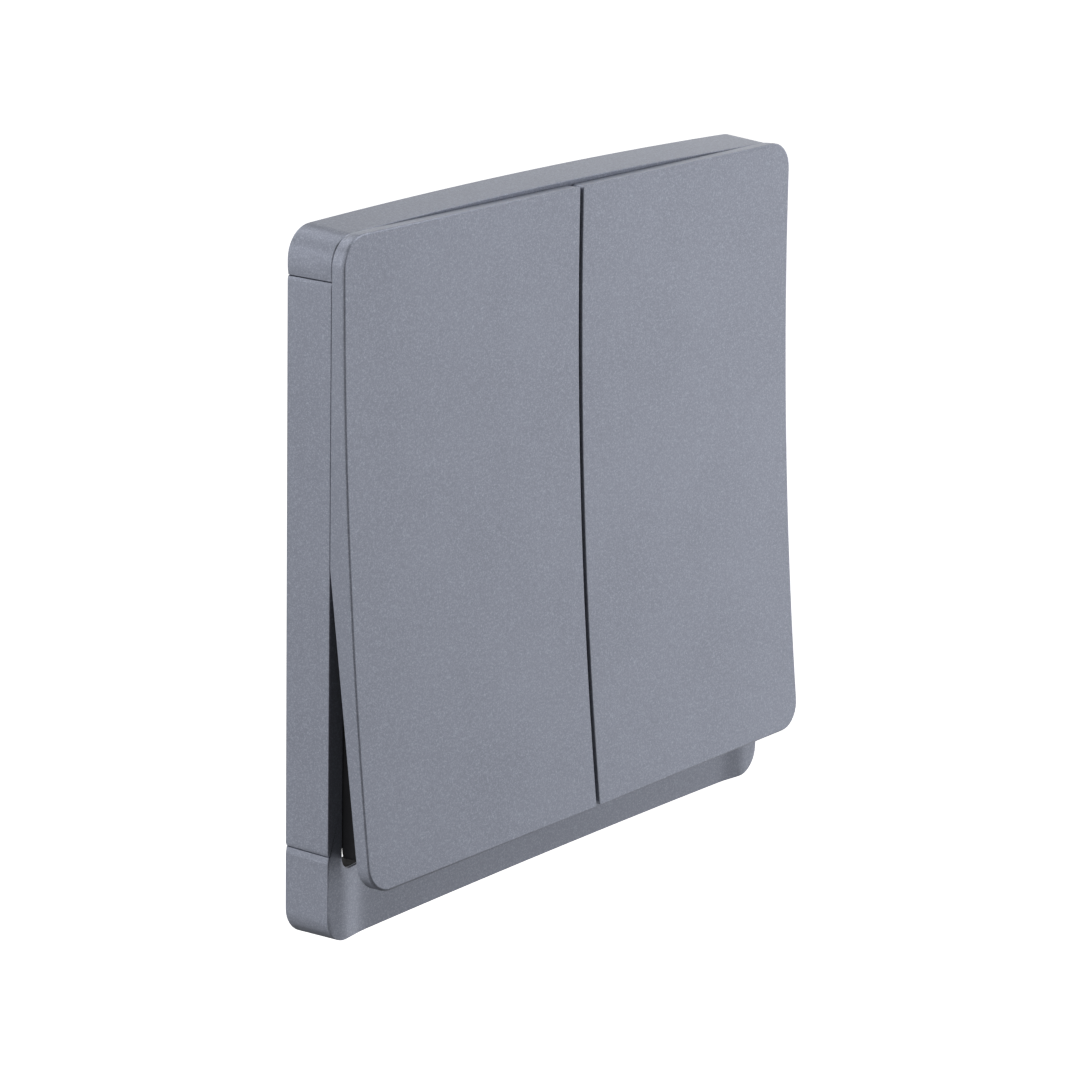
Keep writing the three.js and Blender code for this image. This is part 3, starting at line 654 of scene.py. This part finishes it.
def rocker_shell(side):
    rows = []
    for inset, depth in round_over(EDGE, 4):
        outline = rocker_outline(side, inset, inset * SEAM_CRISPNESS)
        depths = [depth] * (len(outline) // 2) + [depth * SEAM_CRISPNESS] * (len(outline) // 2)
        rows.append([(x, face_y(z) + d, z) for (x, z), d in zip(outline, depths)])
    for inset, depth in reversed(round_over(0.08, 2)):
        rows.append([(x, back_y(z) - depth, z) for x, z in rocker_outline(side, inset)])
    rows.append([(x, back_y(z), z) for x, z in rocker_outline(side, RIM)])
    for inset, depth in ((RIM, 0.5), (RIM + 0.15, 0.15), (RIM + 0.5, 0)):
        rows.append([(x, face_y(z) + SKIN + depth, z) for x, z in rocker_outline(side, inset)])
    bm, rings = skin(rows)
    for ring in (rings[0], rings[-1]):
        count = len(ring)
        for i in range(count // 2 - 1):
            bm.faces.new((ring[i], ring[i + 1], ring[count - 2 - i], ring[count - 1 - i]))
    return bm


def rocker_skirt(side):
    """A wall on the three outer sides that reaches back into the frame's opening."""
    heights = [SKIRT_HALF * i / 12 for i in range(11, -12, -1)]
    far, near = SKIRT_OUTER, SKIRT_OUTER - SKIRT_THICK
    high, low = SKIRT_HALF, SKIRT_HALF - SKIRT_THICK
    path = [((SKIRT_START, high), (SKIRT_START, low))]
    for a in range(90, -1, -15):
        turn_x, turn_z = 1 - cos(radians(a)), 1 - sin(radians(a))
        outer = (far - SKIRT_CORNER * turn_x, high - SKIRT_CORNER * turn_z)
        path.append((outer, (near - SKIRT_INNER_CORNER * turn_x, low - SKIRT_INNER_CORNER * turn_z)))
    path += [((far, z), (near, z * low / high)) for z in heights]
    path += [tuple((x, -z) for x, z in pair) for pair in reversed(path[: -len(heights)])]
    sections = []
    for (xo, zo), (xi, zi) in path:
        root_o, root_i = face_y(zo) + ROOT, face_y(zi) + ROOT
        end_o, end_i = back_y(zo) + SKIRT_REACH, back_y(zi) + SKIRT_REACH
        mid = ((xo + xi) / 2, (end_o + end_i) / 2, (zo + zi) / 2)
        loop = [(xo, root_o, zo), (xo, end_o - SKIRT_END_ROUND, zo),
                (xo + (xi - xo) * 0.2, end_o - 0.03, zo + (zi - zo) * 0.2), mid,
                (xi + (xo - xi) * 0.2, end_i - 0.03, zi + (zo - zi) * 0.2),
                (xi, end_i - SKIRT_END_ROUND, zi), (xi, root_i, zi)]
        sections.append([(side * x, y, z) for x, y, z in loop])
    bm, rings = skin(sections)
    bm.faces.new(rings[0])
    bm.faces.new(rings[-1])
    return bm


def rocker_button(side):
    under = face_y(0) + ROOT
    solids = [rocker_skirt(side)]
    for z in RIB_HEIGHTS:
        depth = (face_y(z) + ROOT, face_y(z) + SKIN + RIB_DEPTH)
        solids.append(block(spread(side, *RIB_SPAN), depth, (z - 0.5, z + 0.5)))

    # The journal on its arm turns in the carrier's bearing post.
    arm = spread(side, *ARM_SPAN)
    solids.append(block(arm, (under, ARM_END), (-ARM_HALF, ARM_HALF), 0.3))
    for z in (-GUSSET_AT, GUSSET_AT):
        solids.append(block(arm, (under, under + GUSSET_DEPTH), (z - GUSSET_HALF, z + GUSSET_HALF), 0.3))
    solids.append(rod(JOURNAL_R, spread(side, *JOURNAL_SPAN), "x", (0, 0, 0), 0.25))

    for way in (-1, 1):
        for up in (-1, 1):
            inner = side * GANG_X + way * CLIP_AT
            outer = inner + way * CLIP_THICK
            z = spread(up, *CLIP_SPAN)
            solids.append(block(sorted((inner, outer)), (under, CLIP_END), z))
            hook = sorted((inner - way * HOOK_REACH, outer - way * HOOK_SETBACK))
            solids.append(block(hook, HOOK_DEPTH, (z[0] - HOOK_EXTRA, z[1] + HOOK_EXTRA)))
    return combined(rocker_shell(side), solids)


ROCKER_AT_REST = Matrix.Translation((0, PIVOT_Y, PIVOT_Z)) @ Matrix.Rotation(-TILT, 4, "X")
FROM_REST = ROCKER_AT_REST.inverted()


def rocker_dark_faces(place, normal):
    """The skirt and everything under the skin take the near-black plastic: painted shade for the skirt seen dark
    in the gap behind the button.
    """
    x, y, z = FROM_REST @ place
    rim = RIM - 0.1
    over_hollow = SEAM_HALF + rim < abs(x) < ROCKER_OUTER - rim and abs(z) < ROCKER_HALF - rim
    return y > back_y(z) + 0.02 or (over_hollow and y > face_y(z) + SKIN * 0.7)


for side_name, side_way in SIDES.items():
    button = rocker_button(side_way)
    button.transform(ROCKER_AT_REST)
    piece(f"rocker_button_{side_name}_shell", button, f"rocker_{side_name}", PAINT,
          [f"rocker_button_{side_name}"], dark_faces=(SHADE_AND_BACK_PLASTIC, rocker_dark_faces))

# ---------------------------------------------------------------- plates, carrier and module

MODULE_HALF = 22.5
MODULE_BACK = 14
MODULE_WALL = 1.5
MODULE_SCREW = 24.3
BAY_FLOOR = 12.4
FLANGE_HALF = 26.5
TERMINAL_SCREW_Y = 8.2
COVER_BACK = -3
COVER_FRONT = -4.1
COVER_HALF_HEIGHT = 28.5
TRUNNION_R = 1.5
BRIDGE_THICK = 1.2
CARRIER_BACK = -1.5
CARRIER_FRONT = -2.7
CLAMP_SHIFTS = {"upper": (-5.5, 17.1), "lower": (-5.5, -17.1), "common": (5.5, -17.1)}

# Housing
MIDDLE_WALL_HALF = 0.8
ENTRY_R = 1.65
ENTRY_MOUTH_R = 2.5
ENTRY_LIFT = 0.6  # how much nearer to the edge an entry is than its clamp
ACCESS_R = 3
PANEL_X = (3.2, 18.8)
PANEL_HALF_HEIGHT = 10
PANEL_DEPTH = 0.4
FLOOR_RIB_FRONT = 5.5
FLOOR_RIB_START = 12.2
FLOOR_RIB_HALF = 0.6
GRIPS = 7
GRIP_TOP = 5.4
GRIP_PITCH = 1.8
GRIP_HALF = 0.5
GRIP_RISE = 0.25
GRIP_DEPTH = (2.4, 11.2)
SCREW_HOLE_R = 1.2

# Module cover
WINDOW_HALF_WIDTH = 5.6
WINDOW_HALF_HEIGHT = 6.6
SADDLE_X = (5.9, 7.5)
SADDLE_FRONT = -6.3
SADDLE_HALF = 3
SADDLE_CUT = 8
COVER_RIB_HALF = 24
COVER_RIB_AT = 17
COVER_RIB_RISE = 0.35

# Bridge
BRIDGE_HALF_WIDTH = 37.5
BRIDGE_HALF_HEIGHT = 27
SEAT_X = (27, 34.1)
SEAT_HALF = 4.3
SEAT_RISE = 0.4
BEAD_X = (30.5, 34.5)
BEAD_AT = 19
BEAD_HALF = 4
BEAD_RISE = 0.25
BEHIND_FACE = -0.6
FIXING_AT = 30.15  # half of the 60.3 mm between the fixing screws
FIXING_HALF_LENGTH = 3.6
FIXING_HALF_HEIGHT = 2.3

# Carrier
CARRIER_HALF = 38.5
CARRIER_HEIGHTS = (-31, 38.2)
NOTCH_END = 35.5
NOTCH_HALF = 5
POST_X = (36.2, 38.2)
POST_FRONT = -6.3
POST_HALF = 2.9
EDGE_RIB_X = (37, 38.5)
EDGE_RIB_FRONT = -3.6
EDGE_RIB_SPANS = ((-29, -6), (10, 36))
BEARING_R = 1.65
BEARING_MOUTH = 1.25
SLOTS = {part["node"]: part["material_slot"] for part in frame["record"]["subparts"]}
BODIES = {node: body for body, nodes in frame["record"]["behaviour"]["bodies"].items() for node in nodes}


def replacing(node, bm, sharp=35):
    """Makes bm the piece that stands for a CAD node, with that node's body, slot and finish."""
    slot = SLOTS[node]
    piece(f"{node}_shell", bm, BODIES[node], FINISHES[slot], [node], sharp)


def softened(node, width, sharp=30):
    """A CAD node's shape with rounded edges."""
    bm = bmesh.new()
    bm.from_mesh(frame["nodes"][node].data)
    bm.transform(Matrix.Scale(1 / MM, 4))
    bmesh.ops.remove_doubles(bm, verts=bm.verts, dist=1e-3)
    bmesh.ops.dissolve_limit(bm, angle_limit=radians(1), verts=bm.verts, edges=bm.edges)
    edges = [e for e in bm.edges if e.is_manifold and e.calc_face_angle() > radians(sharp)]
    bmesh.ops.bevel(bm, geom=edges, offset=width, segments=2, profile=0.6, affect="EDGES",
                    clamp_overlap=True)
    bmesh.ops.triangulate(bm, faces=[f for f in bm.faces if len(f.verts) > 4])
    return bm


def slab(x, z, radius, y, edge=0.15):
    """A plate with round corners and rounded rims: its spans along X and Z, and along Y."""
    rows = []
    rims = [(inset, y[0] + depth) for inset, depth in round_over(edge, 2)]
    rims += [(inset, y[1] - depth) for inset, depth in reversed(round_over(edge, 2))]
    corners = [(x[1], z[1], 0), (x[0], z[1], 90), (x[0], z[0], 180), (x[1], z[0], 270)]
    for inset, place in rims:
        row = []
        for cx, cz, start in corners:
            turn = radius - inset
            px = cx - radius if cx == x[1] else cx + radius
            pz = cz - radius if cz == z[1] else cz + radius
            row += [(ax, place, az) for ax, az, _, _ in arc(px, pz, turn, start, start + 90, 8)]
        rows.append(row)
    bm, rings = skin(rows)
    bm.faces.new(rings[0])
    bm.faces.new(rings[-1])
    return bm


def countersunk(radius, rim, faces, centre, axis="y"):
    """A tool for a round hole between two faces, with a small rim of 45 degrees at each."""
    low, high = faces
    profile = [(0, low - 1), (radius + rim + 1, low - 1), (radius, low + rim), (radius, high - rim),
               (radius + rim + 1, high + 1), (0, high + 1)]
    return lathe(profile, axis, centre, 32)


def around_pivot(half):
    """A span along Z that is centred on the module."""
    return PIVOT_Z - half, PIVOT_Z + half


def screw_places():
    return [(x, z) for x in (-MODULE_SCREW, MODULE_SCREW) for z in around_pivot(MODULE_SCREW)]


def wire_entry(x, z):
    """A tool for a wire entry through the housing's floor, with a lead-in."""
    low, high = BAY_FLOOR - 1, MODULE_BACK
    profile = [(0, low), (ENTRY_R, low), (ENTRY_R, high - 0.9), (ENTRY_R + 0.15, high - 0.6),
               (ENTRY_MOUTH_R, high + 0.1), (ENTRY_MOUTH_R, high + 1), (0, high + 1)]
    return lathe(profile, "y", (x, 0, z), 32)


def module_housing():
    """The moulded box: two bays, wire entries, screw openings, floor ribs, grips, panels and a flange."""
    half, inside = MODULE_HALF, MODULE_HALF - MODULE_WALL
    back, faces = MODULE_BACK, (CARRIER_FRONT, CARRIER_BACK)
    body = block((-half, half), (CARRIER_FRONT, back), around_pivot(half), 0.8, 4)
    flange = slab((-FLANGE_HALF, FLANGE_HALF), around_pivot(FLANGE_HALF), 1.5, faces)
    cuts = []
    for way in SIDES.values():
        bay = spread(way, MIDDLE_WALL_HALF, inside)
        cuts.append(block(bay, (-4, BAY_FLOOR), around_pivot(inside), 0.5, 3))
        panel = (back - PANEL_DEPTH, back + 1)
        cuts.append(block(spread(way, *PANEL_X), panel, around_pivot(PANEL_HALF_HEIGHT), 0.3, 3))
        for shift, z in CLAMP_SHIFTS.values():
            up = 1 if z > 0 else -1
            x = way * GANG_X + shift
            cuts.append(wire_entry(x, PIVOT_Z + z + ENTRY_LIFT * up))
            wall = sorted((PIVOT_Z + up * inside, PIVOT_Z + up * half))
            cuts.append(countersunk(ACCESS_R, 0.35, wall, (x, TERMINAL_SCREW_Y, 0), "z"))
    cuts += [countersunk(SCREW_HOLE_R, 0.2, faces, (x, 0, z)) for x, z in screw_places()]
    box = combined(body, [flange], cuts)

    ribs = []
    for way in SIDES.values():
        x = way * GANG_X
        for up in (-1, 1):
            z = sorted((PIVOT_Z + up * FLOOR_RIB_START, PIVOT_Z + up * (inside + 0.1)))
            rib = (x - FLOOR_RIB_HALF, x + FLOOR_RIB_HALF)
            ribs.append(block(rib, (FLOOR_RIB_FRONT, BAY_FLOOR + 0.1), z, 0.2))
        for i in range(GRIPS):
            z = PIVOT_Z + GRIP_TOP - GRIP_PITCH * i
            rise = spread(way, half - 0.3, half + GRIP_RISE)
            ribs.append(block(rise, GRIP_DEPTH, (z - GRIP_HALF, z + GRIP_HALF), 0.24, 3))
    return combined(box, ribs)


def module_cover():
    """The plate over the bays with a window and a pair of snap-in saddles for each actuator."""
    faces = (COVER_FRONT, COVER_BACK)
    base = slab((-FLANGE_HALF, FLANGE_HALF), around_pivot(COVER_HALF_HEIGHT), 3, faces)
    saddles, cuts = [], []
    for side in SIDES.values():
        x = side * GANG_X
        window = (x - WINDOW_HALF_WIDTH, x + WINDOW_HALF_WIDTH)
        cuts.append(block(window, (-5, -2), around_pivot(WINDOW_HALF_HEIGHT), 0))
        for way in (-1, 1):
            cheek = sorted(x + way * end for end in SADDLE_X)
            saddles.append(block(cheek, (SADDLE_FRONT, COVER_BACK - 0.2), around_pivot(SADDLE_HALF), 0.3, 3))
        across = (x - SADDLE_CUT, x + SADDLE_CUT)
        cuts.append(rod(TRUNNION_R + 0.25, across, "x", (0, PIVOT_Y, PIVOT_Z), 0.1, 40))
        cuts.append(block(across, (-7, PIVOT_Y), around_pivot(TRUNNION_R - 0.15), 0))
    rib_depth = (COVER_FRONT - COVER_RIB_RISE, COVER_FRONT + 0.2)
    ribs = [block((-COVER_RIB_HALF, COVER_RIB_HALF), rib_depth, (z - 0.4, z + 0.4), 0.2)
            for z in around_pivot(COVER_RIB_AT)]
    cuts += [countersunk(SCREW_HOLE_R, 0.2, faces, (x, 0, z)) for x, z in screw_places()]
    return combined(base, [*saddles, *ribs], cuts)


def mounting_bridge():
    """Zinc-plated sheet: a window for the module, fixing slots in raised seats, beads and pierced holes."""
    width, window = BRIDGE_HALF_WIDTH, MODULE_HALF + 0.3
    through = (-3, 1)
    plate = slab((-width, width), around_pivot(BRIDGE_HALF_HEIGHT), 2.5, (-BRIDGE_THICK, 0), 0.1)
    cuts = [slab((-window, window), around_pivot(window), 0.6, through, 0.01)]
    added = []
    for way in SIDES.values():
        seat = (-BRIDGE_THICK - SEAT_RISE, BEHIND_FACE)
        added.append(block(spread(way, *SEAT_X), seat, (-SEAT_HALF, SEAT_HALF), 0.15))
        bead = (-BRIDGE_THICK - BEAD_RISE, BEHIND_FACE)
        for z in around_pivot(BEAD_AT):
            added.append(block(spread(way, *BEAD_X), bead, (z - BEAD_HALF, z + BEAD_HALF), 0.2, 3))
        x, height = way * FIXING_AT, FIXING_HALF_HEIGHT
        length = (x - FIXING_HALF_LENGTH, x + FIXING_HALF_LENGTH)
        cuts.append(slab(length, (-height, height), height - 0.01, through, 0.01))
    cuts += [rod(SCREW_HOLE_R, through, "y", (x, 0, z)) for x, z in screw_places()]
    return combined(plate, added, cuts)


def rocker_carrier():
    """The dark moulded plate with the bearing posts, edge ribs and room for the fixing screws."""
    window = FLANGE_HALF + 0.3
    root = CARRIER_BACK - 0.1
    plate = slab((-CARRIER_HALF, CARRIER_HALF), CARRIER_HEIGHTS, 3, (CARRIER_FRONT, CARRIER_BACK))
    cuts = [slab((-window, window), around_pivot(window), 0.8, (-4, 0), 0.01)]
    added = []
    for way in SIDES.values():
        cuts.append(block(spread(way, window - 1, NOTCH_END), (-4, 0), (-NOTCH_HALF, NOTCH_HALF), 0.6, 3))
        added.append(block(spread(way, *POST_X), (POST_FRONT, root), around_pivot(POST_HALF), 0.35, 3))
        for z in EDGE_RIB_SPANS:
            added.append(block(spread(way, *EDGE_RIB_X), (EDGE_RIB_FRONT, root), z, 0.3, 3))
        bearing = spread(way, 35, 40)
        cuts.append(rod(BEARING_R, bearing, "x", (0, PIVOT_Y, PIVOT_Z), 0.1, 40))
        cuts.append(block(bearing, (-7, PIVOT_Y), around_pivot(BEARING_MOUTH), 0))
    return combined(plate, added, cuts)


replacing("module_housing", module_housing())
replacing("mounting_bridge", mounting_bridge())
replacing("rocker_carrier", rocker_carrier())
replacing("module_cover", module_cover())

# ---------------------------------------------------------------- screws, rivets and contacts


def span_of(node, axis):
    low, high = node_box(node)
    return low[axis], high[axis]


def centre_of(node):
    low, high = node_box(node)
    return (low + high) / 2


TURNED_SIDES = 28  # of screws and rivets
HEAD_R, SHANK_R, CORE_R = 1.8, 0.9, 0.73
HEAD_HEIGHT = 1.1
THREAD_TURNS = 9
SLOT_HALF, SLOT_DEPTH = 0.25, 0.5
TERMINAL_HEAD_R, TERMINAL_SHANK_R, TERMINAL_CORE_R = 2.5, 1.5, 1.3
TERMINAL_HEAD_HEIGHT = 1.6
TERMINAL_TURNS = 4
TERMINAL_SLOT_HALF, TERMINAL_SLOT_DEPTH = 0.4, 0.7


def module_screw(node):
    """A pan-head screw with a slot and a turned thread."""
    front, back = span_of(node, 1)
    centre = centre_of(node)
    under = front + HEAD_HEIGHT
    dome = [(0, 0), (0.9, 0.02), (1.35, 0.12), (1.65, 0.34), (HEAD_R, 0.62)]
    profile = [(radius, front + depth) for radius, depth in dome]
    profile += [(HEAD_R, under - 0.08), (HEAD_R - 0.08, under), (SHANK_R, under)]
    pitch = (back - 0.75 - under) / THREAD_TURNS
    for i in range(THREAD_TURNS):
        start = under + pitch * i
        profile += [(CORE_R, start + 0.3 * pitch), (CORE_R, start + 0.45 * pitch),
                    (SHANK_R, start + 0.8 * pitch), (SHANK_R, start + pitch)]
    profile += [(0.5, back - 0.2), (0, back)]
    body = lathe(profile, "y", (centre.x, 0, centre.z), TURNED_SIDES)
    slot = block((centre.x - 2, centre.x + 2), (front - 1, front + SLOT_DEPTH),
                 (centre.z - SLOT_HALF, centre.z + SLOT_HALF), 0)
    return combined(body, (), [slot])


def terminal_screw(node, way):
    """A headed terminal screw along Z, its slot at the outer end."""
    low, high = span_of(node, 2)
    centre = centre_of(node)
    outer, inner = (high, low) if way > 0 else (low, high)
    head, shank, core = TERMINAL_HEAD_R, TERMINAL_SHANK_R, TERMINAL_CORE_R
    under = outer - way * TERMINAL_HEAD_HEIGHT
    profile = [(0, inner), (shank - 0.4, inner), (core, inner + way * 0.15)]
    pitch = (abs(under - inner) - 0.3) / TERMINAL_TURNS
    for i in range(TERMINAL_TURNS):
        start = inner + way * (0.15 + pitch * i)
        profile += [(core, start + way * 0.2 * pitch), (shank, start + way * 0.5 * pitch),
                    (shank, start + way * 0.7 * pitch), (core, start + way * pitch)]
    profile += [(core, under), (head - 0.1, under), (head, under + way * 0.12), (head, outer - way * 0.35),
                (head - 0.3, outer - way * 0.05), (head - 0.6, outer), (0, outer)]
    body = lathe(profile, "z", (centre.x, centre.y, 0), TURNED_SIDES)
    depth = sorted((outer - way * TERMINAL_SLOT_DEPTH, outer + way))
    slot = block((centre.x - 3, centre.x + 3),
                 (centre.y - TERMINAL_SLOT_HALF, centre.y + TERMINAL_SLOT_HALF), depth, 0)
    return combined(body, (), [slot])


RIVET_R, RIVET_SHANK_R = 1.3, 0.55
RIVET_HEAD = 0.35
# The moving rivets, in the frame of a seesaw
SEESAW_FACE, SEESAW_NECK, SEESAW_TAIL = 1.05, 0.65, -1
SEESAW_RIVET_AT = 7.8


def contact_rivet(face, neck, tail, centre):
    """A rivet along Y with a domed contact face and an upset tail."""
    way = 1 if neck > face else -1
    dome = [(0, 0), (0.55, 0.01), (0.95, 0.05), (1.18, 0.13), (RIVET_R, 0.25)]
    profile = [(radius, face + way * depth) for radius, depth in dome]
    profile += [(RIVET_R, neck - way * 0.03), (RIVET_R - 0.03, neck), (RIVET_SHANK_R, neck),
                (RIVET_SHANK_R, tail - way * 0.1), (RIVET_SHANK_R - 0.1, tail), (0, tail)]
    return lathe(profile, "y", centre, TURNED_SIDES)


for name in ("top_left", "top_right", "bottom_left", "bottom_right"):
    replacing(f"module_screw_{name}", module_screw(f"module_screw_{name}"))

for side_name, side_way in SIDES.items():
    seesaw = joint(f"seesaw_{side_name}_rock")
    seesaw_place = Vector(seesaw["pos_m"]) / MM
    seesaw_tilt = -radians(seesaw["range_deg"][0] / 2)
    from_seesaw = Matrix.Translation(seesaw_place) @ Matrix.Rotation(seesaw_tilt, 4, "X")
    replacing(f"actuator_{side_name}", softened(f"actuator_{side_name}", 0.2))
    replacing(f"seesaw_contact_{side_name}", softened(f"seesaw_contact_{side_name}", 0.08))
    replacing(f"common_terminal_{side_name}", softened(f"common_terminal_{side_name}", 0.08))
    for level, way in (("upper", 1), ("lower", -1)):
        replacing(f"fixed_contact_{side_name}_{level}", softened(f"fixed_contact_{side_name}_{level}", 0.08))
        fixed = f"fixed_rivet_{side_name}_{level}"
        face, tail = span_of(fixed, 1)
        centre = centre_of(fixed)
        replacing(fixed, contact_rivet(face, face + RIVET_HEAD, tail, (centre.x, 0, centre.z)))
        moving = contact_rivet(SEESAW_FACE, SEESAW_NECK, SEESAW_TAIL, (0, 0, way * SEESAW_RIVET_AT))
        moving.transform(from_seesaw)
        replacing(f"seesaw_rivet_{side_name}_{level}", moving)
    for role, (shift, z) in CLAMP_SHIFTS.items():
        way = 1 if z > 0 else -1
        replacing(f"terminal_clamp_{side_name}_{role}", softened(f"terminal_clamp_{side_name}_{role}", 0.15))
        screw = f"terminal_screw_{side_name}_{role}"
        replacing(screw, terminal_screw(screw, way))

# ---------------------------------------------------------------- plungers and springs, in a rocker's frame

PLUNGER_RADIUS = 1.8
PLUNGER_BACK = 4.3
PLUNGER_TIP = 12
RELIEF = (6.2, 7.35)  # a shallow groove around the pin
RELIEF_DEPTH = 0.12
RELIEF_RAMP = 0.15
WIRE = 0.24
COIL = 1.4
COIL_START = 0.14
COIL_END = 3.76
COIL_TURNS = 4.5
STEPS_PER_TURN = 24
WIRE_SIDES = 10


def plunger():
    """A pin with a round tip, a relief groove and a flat back."""
    r, back, relief = PLUNGER_RADIUS, PLUNGER_BACK, PLUNGER_RADIUS - RELIEF_DEPTH
    profile = [(0, back), (1.0, back), (1.05, back), (r - 0.15, back), (r, back + 0.15),
               (r, RELIEF[0]), (relief, RELIEF[0] + RELIEF_RAMP),
               (relief, RELIEF[1] - RELIEF_RAMP), (r, RELIEF[1])]
    for i in range(9):
        a = radians(10 * i)
        profile.append((r * cos(a), PLUNGER_TIP - r + r * sin(a)))
    return lathe([*profile, (0, PLUNGER_TIP)], "y", (0, 0, 0), 32)


def coil_spring():
    """A compression spring with a closed turn at each end."""
    closed = 2.1 * WIRE
    free_turns = COIL_TURNS - 2
    rise = (COIL_END - COIL_START - 2 * closed) / free_turns
    rows = []
    for i in range(int(COIL_TURNS * STEPS_PER_TURN) + 1):
        turn = i / STEPS_PER_TURN
        height = closed * min(turn, 1) + closed * max(turn - COIL_TURNS + 1, 0)
        height += rise * min(max(turn - 1, 0), free_turns)
        a = 2 * pi * turn
        row = []
        for k in range(WIRE_SIDES):
            b = 2 * pi * k / WIRE_SIDES
            radius = COIL + WIRE * cos(b)
            row.append((radius * cos(a), COIL_START + height + WIRE * sin(b), radius * sin(a)))
        rows.append(row)
    bm, rings = skin(rows)
    bm.faces.new(rings[0])
    bm.faces.new(rings[-1])
    return bm


for side_name, side_way in SIDES.items():
    at_gang = ROCKER_AT_REST @ Matrix.Translation((side_way * GANG_X, 0, 0))
    for node, shape in ((f"plunger_{side_name}", plunger()), (f"plunger_spring_{side_name}", coil_spring())):
        shape.transform(at_gang)
        replacing(node, shape)

# ---------------------------------------------------------------- stage and light

FLOOR_DROP = 400
FLOOR_HALF = 6000
LIGHT_DISTANCE = 800
# Softboxes around the object: azimuth from the front towards +X and elevation in degrees, width in
# millimetres, power in watts. The powers come from a least-squares fit and were only rounded.
LIGHTS = {
    "front": (20, 8, 450, 0.5),
    "front_right": (50, -5, 450, 0.65),
    "right": (80, 8, 450, 1),
    "right_back": (120, 8, 500, 0.8),
    "back": (160, 5, 500, 1.5),
    "back_left": (-150, 12, 500, 1),
    "left_back": (-120, 8, 500, 0.7),
    "left_front": (-60, 20, 400, 1.5),
    "high_front": (30, 45, 450, 1.6),
    "high_right": (75, 45, 450, 1),
    "high_right_back": (130, 40, 500, 0.3),
    "high_back": (178, 46, 500, 1.2),
    "high_left_back": (-130, 40, 500, 0.6),
    "overhead": (0, 80, 600, 1.2),
    "low_right": (85, -22, 500, 1.6),
    "low_left_back": (-125, -20, 500, 0.4),
    "low_left": (-90, -22, 500, 0.7),
    "low_back": (-150, -42, 500, 0.4),
}
FILL = 0.15  # brightness of the surroundings between the softboxes


def softbox(name, azimuth, elevation, width, power):
    a, e = radians(azimuth), radians(elevation)
    data = bpy.data.lights.new(name, "AREA")
    data.size = width * MM
    data.energy = power
    light = bpy.data.objects.new(name, data)
    bpy.context.scene.collection.objects.link(light)
    place = Vector((sin(a) * cos(e), -cos(a) * cos(e), sin(e))) * LIGHT_DISTANCE * MM
    light.location = place
    light.rotation_euler = place.to_track_quat("Z", "Y").to_euler()
    light.visible_camera = False


def make_stage():
    """A plain white floor, too bright to shade, that the softboxes don't bounce off."""
    bm = bmesh.new()
    bmesh.ops.create_grid(bm, x_segments=8, y_segments=8, size=FLOOR_HALF)
    bm.transform(Matrix.Scale(MM, 4))
    floor = object_of(bm, "floor")
    floor.location.z = cad_bounds[0][2] - FLOOR_DROP * MM
    s = Shader("pale_floor", base_color=(0.9, 0.9, 0.9, 1), roughness=0.9)
    s.bsdf.inputs["Emission Color"].default_value = (1, 1, 1, 1)
    s.bsdf.inputs["Emission Strength"].default_value = 1.0
    floor.data.materials.append(s.material)
    floor.visible_diffuse = False
    floor.visible_glossy = False
    floor.visible_shadow = False


def make_light():
    for name, settings in LIGHTS.items():
        softbox(name, *settings)
    world = bpy.data.worlds.new("studio")
    bpy.context.scene.world = world
    world.use_nodes = True
    nodes, links = world.node_tree.nodes, world.node_tree.links
    background = nodes["Background"]
    background.inputs["Color"].default_value = (1, 1, 1, 1)
    background.inputs["Strength"].default_value = FILL
    backdrop = nodes.new("ShaderNodeBackground")
    backdrop.inputs["Color"].default_value = (1, 1, 1, 1)
    backdrop.inputs["Strength"].default_value = 1.0
    seen = nodes.new("ShaderNodeLightPath")
    mixed = nodes.new("ShaderNodeMixShader")
    links.new(seen.outputs["Is Camera Ray"], mixed.inputs["Fac"])
    links.new(background.outputs[0], mixed.inputs[1])
    links.new(backdrop.outputs[0], mixed.inputs[2])
    links.new(mixed.outputs[0], nodes["World Output"].inputs["Surface"])
    bpy.context.scene.view_settings.view_transform = "Standard"


make_stage()
make_light()
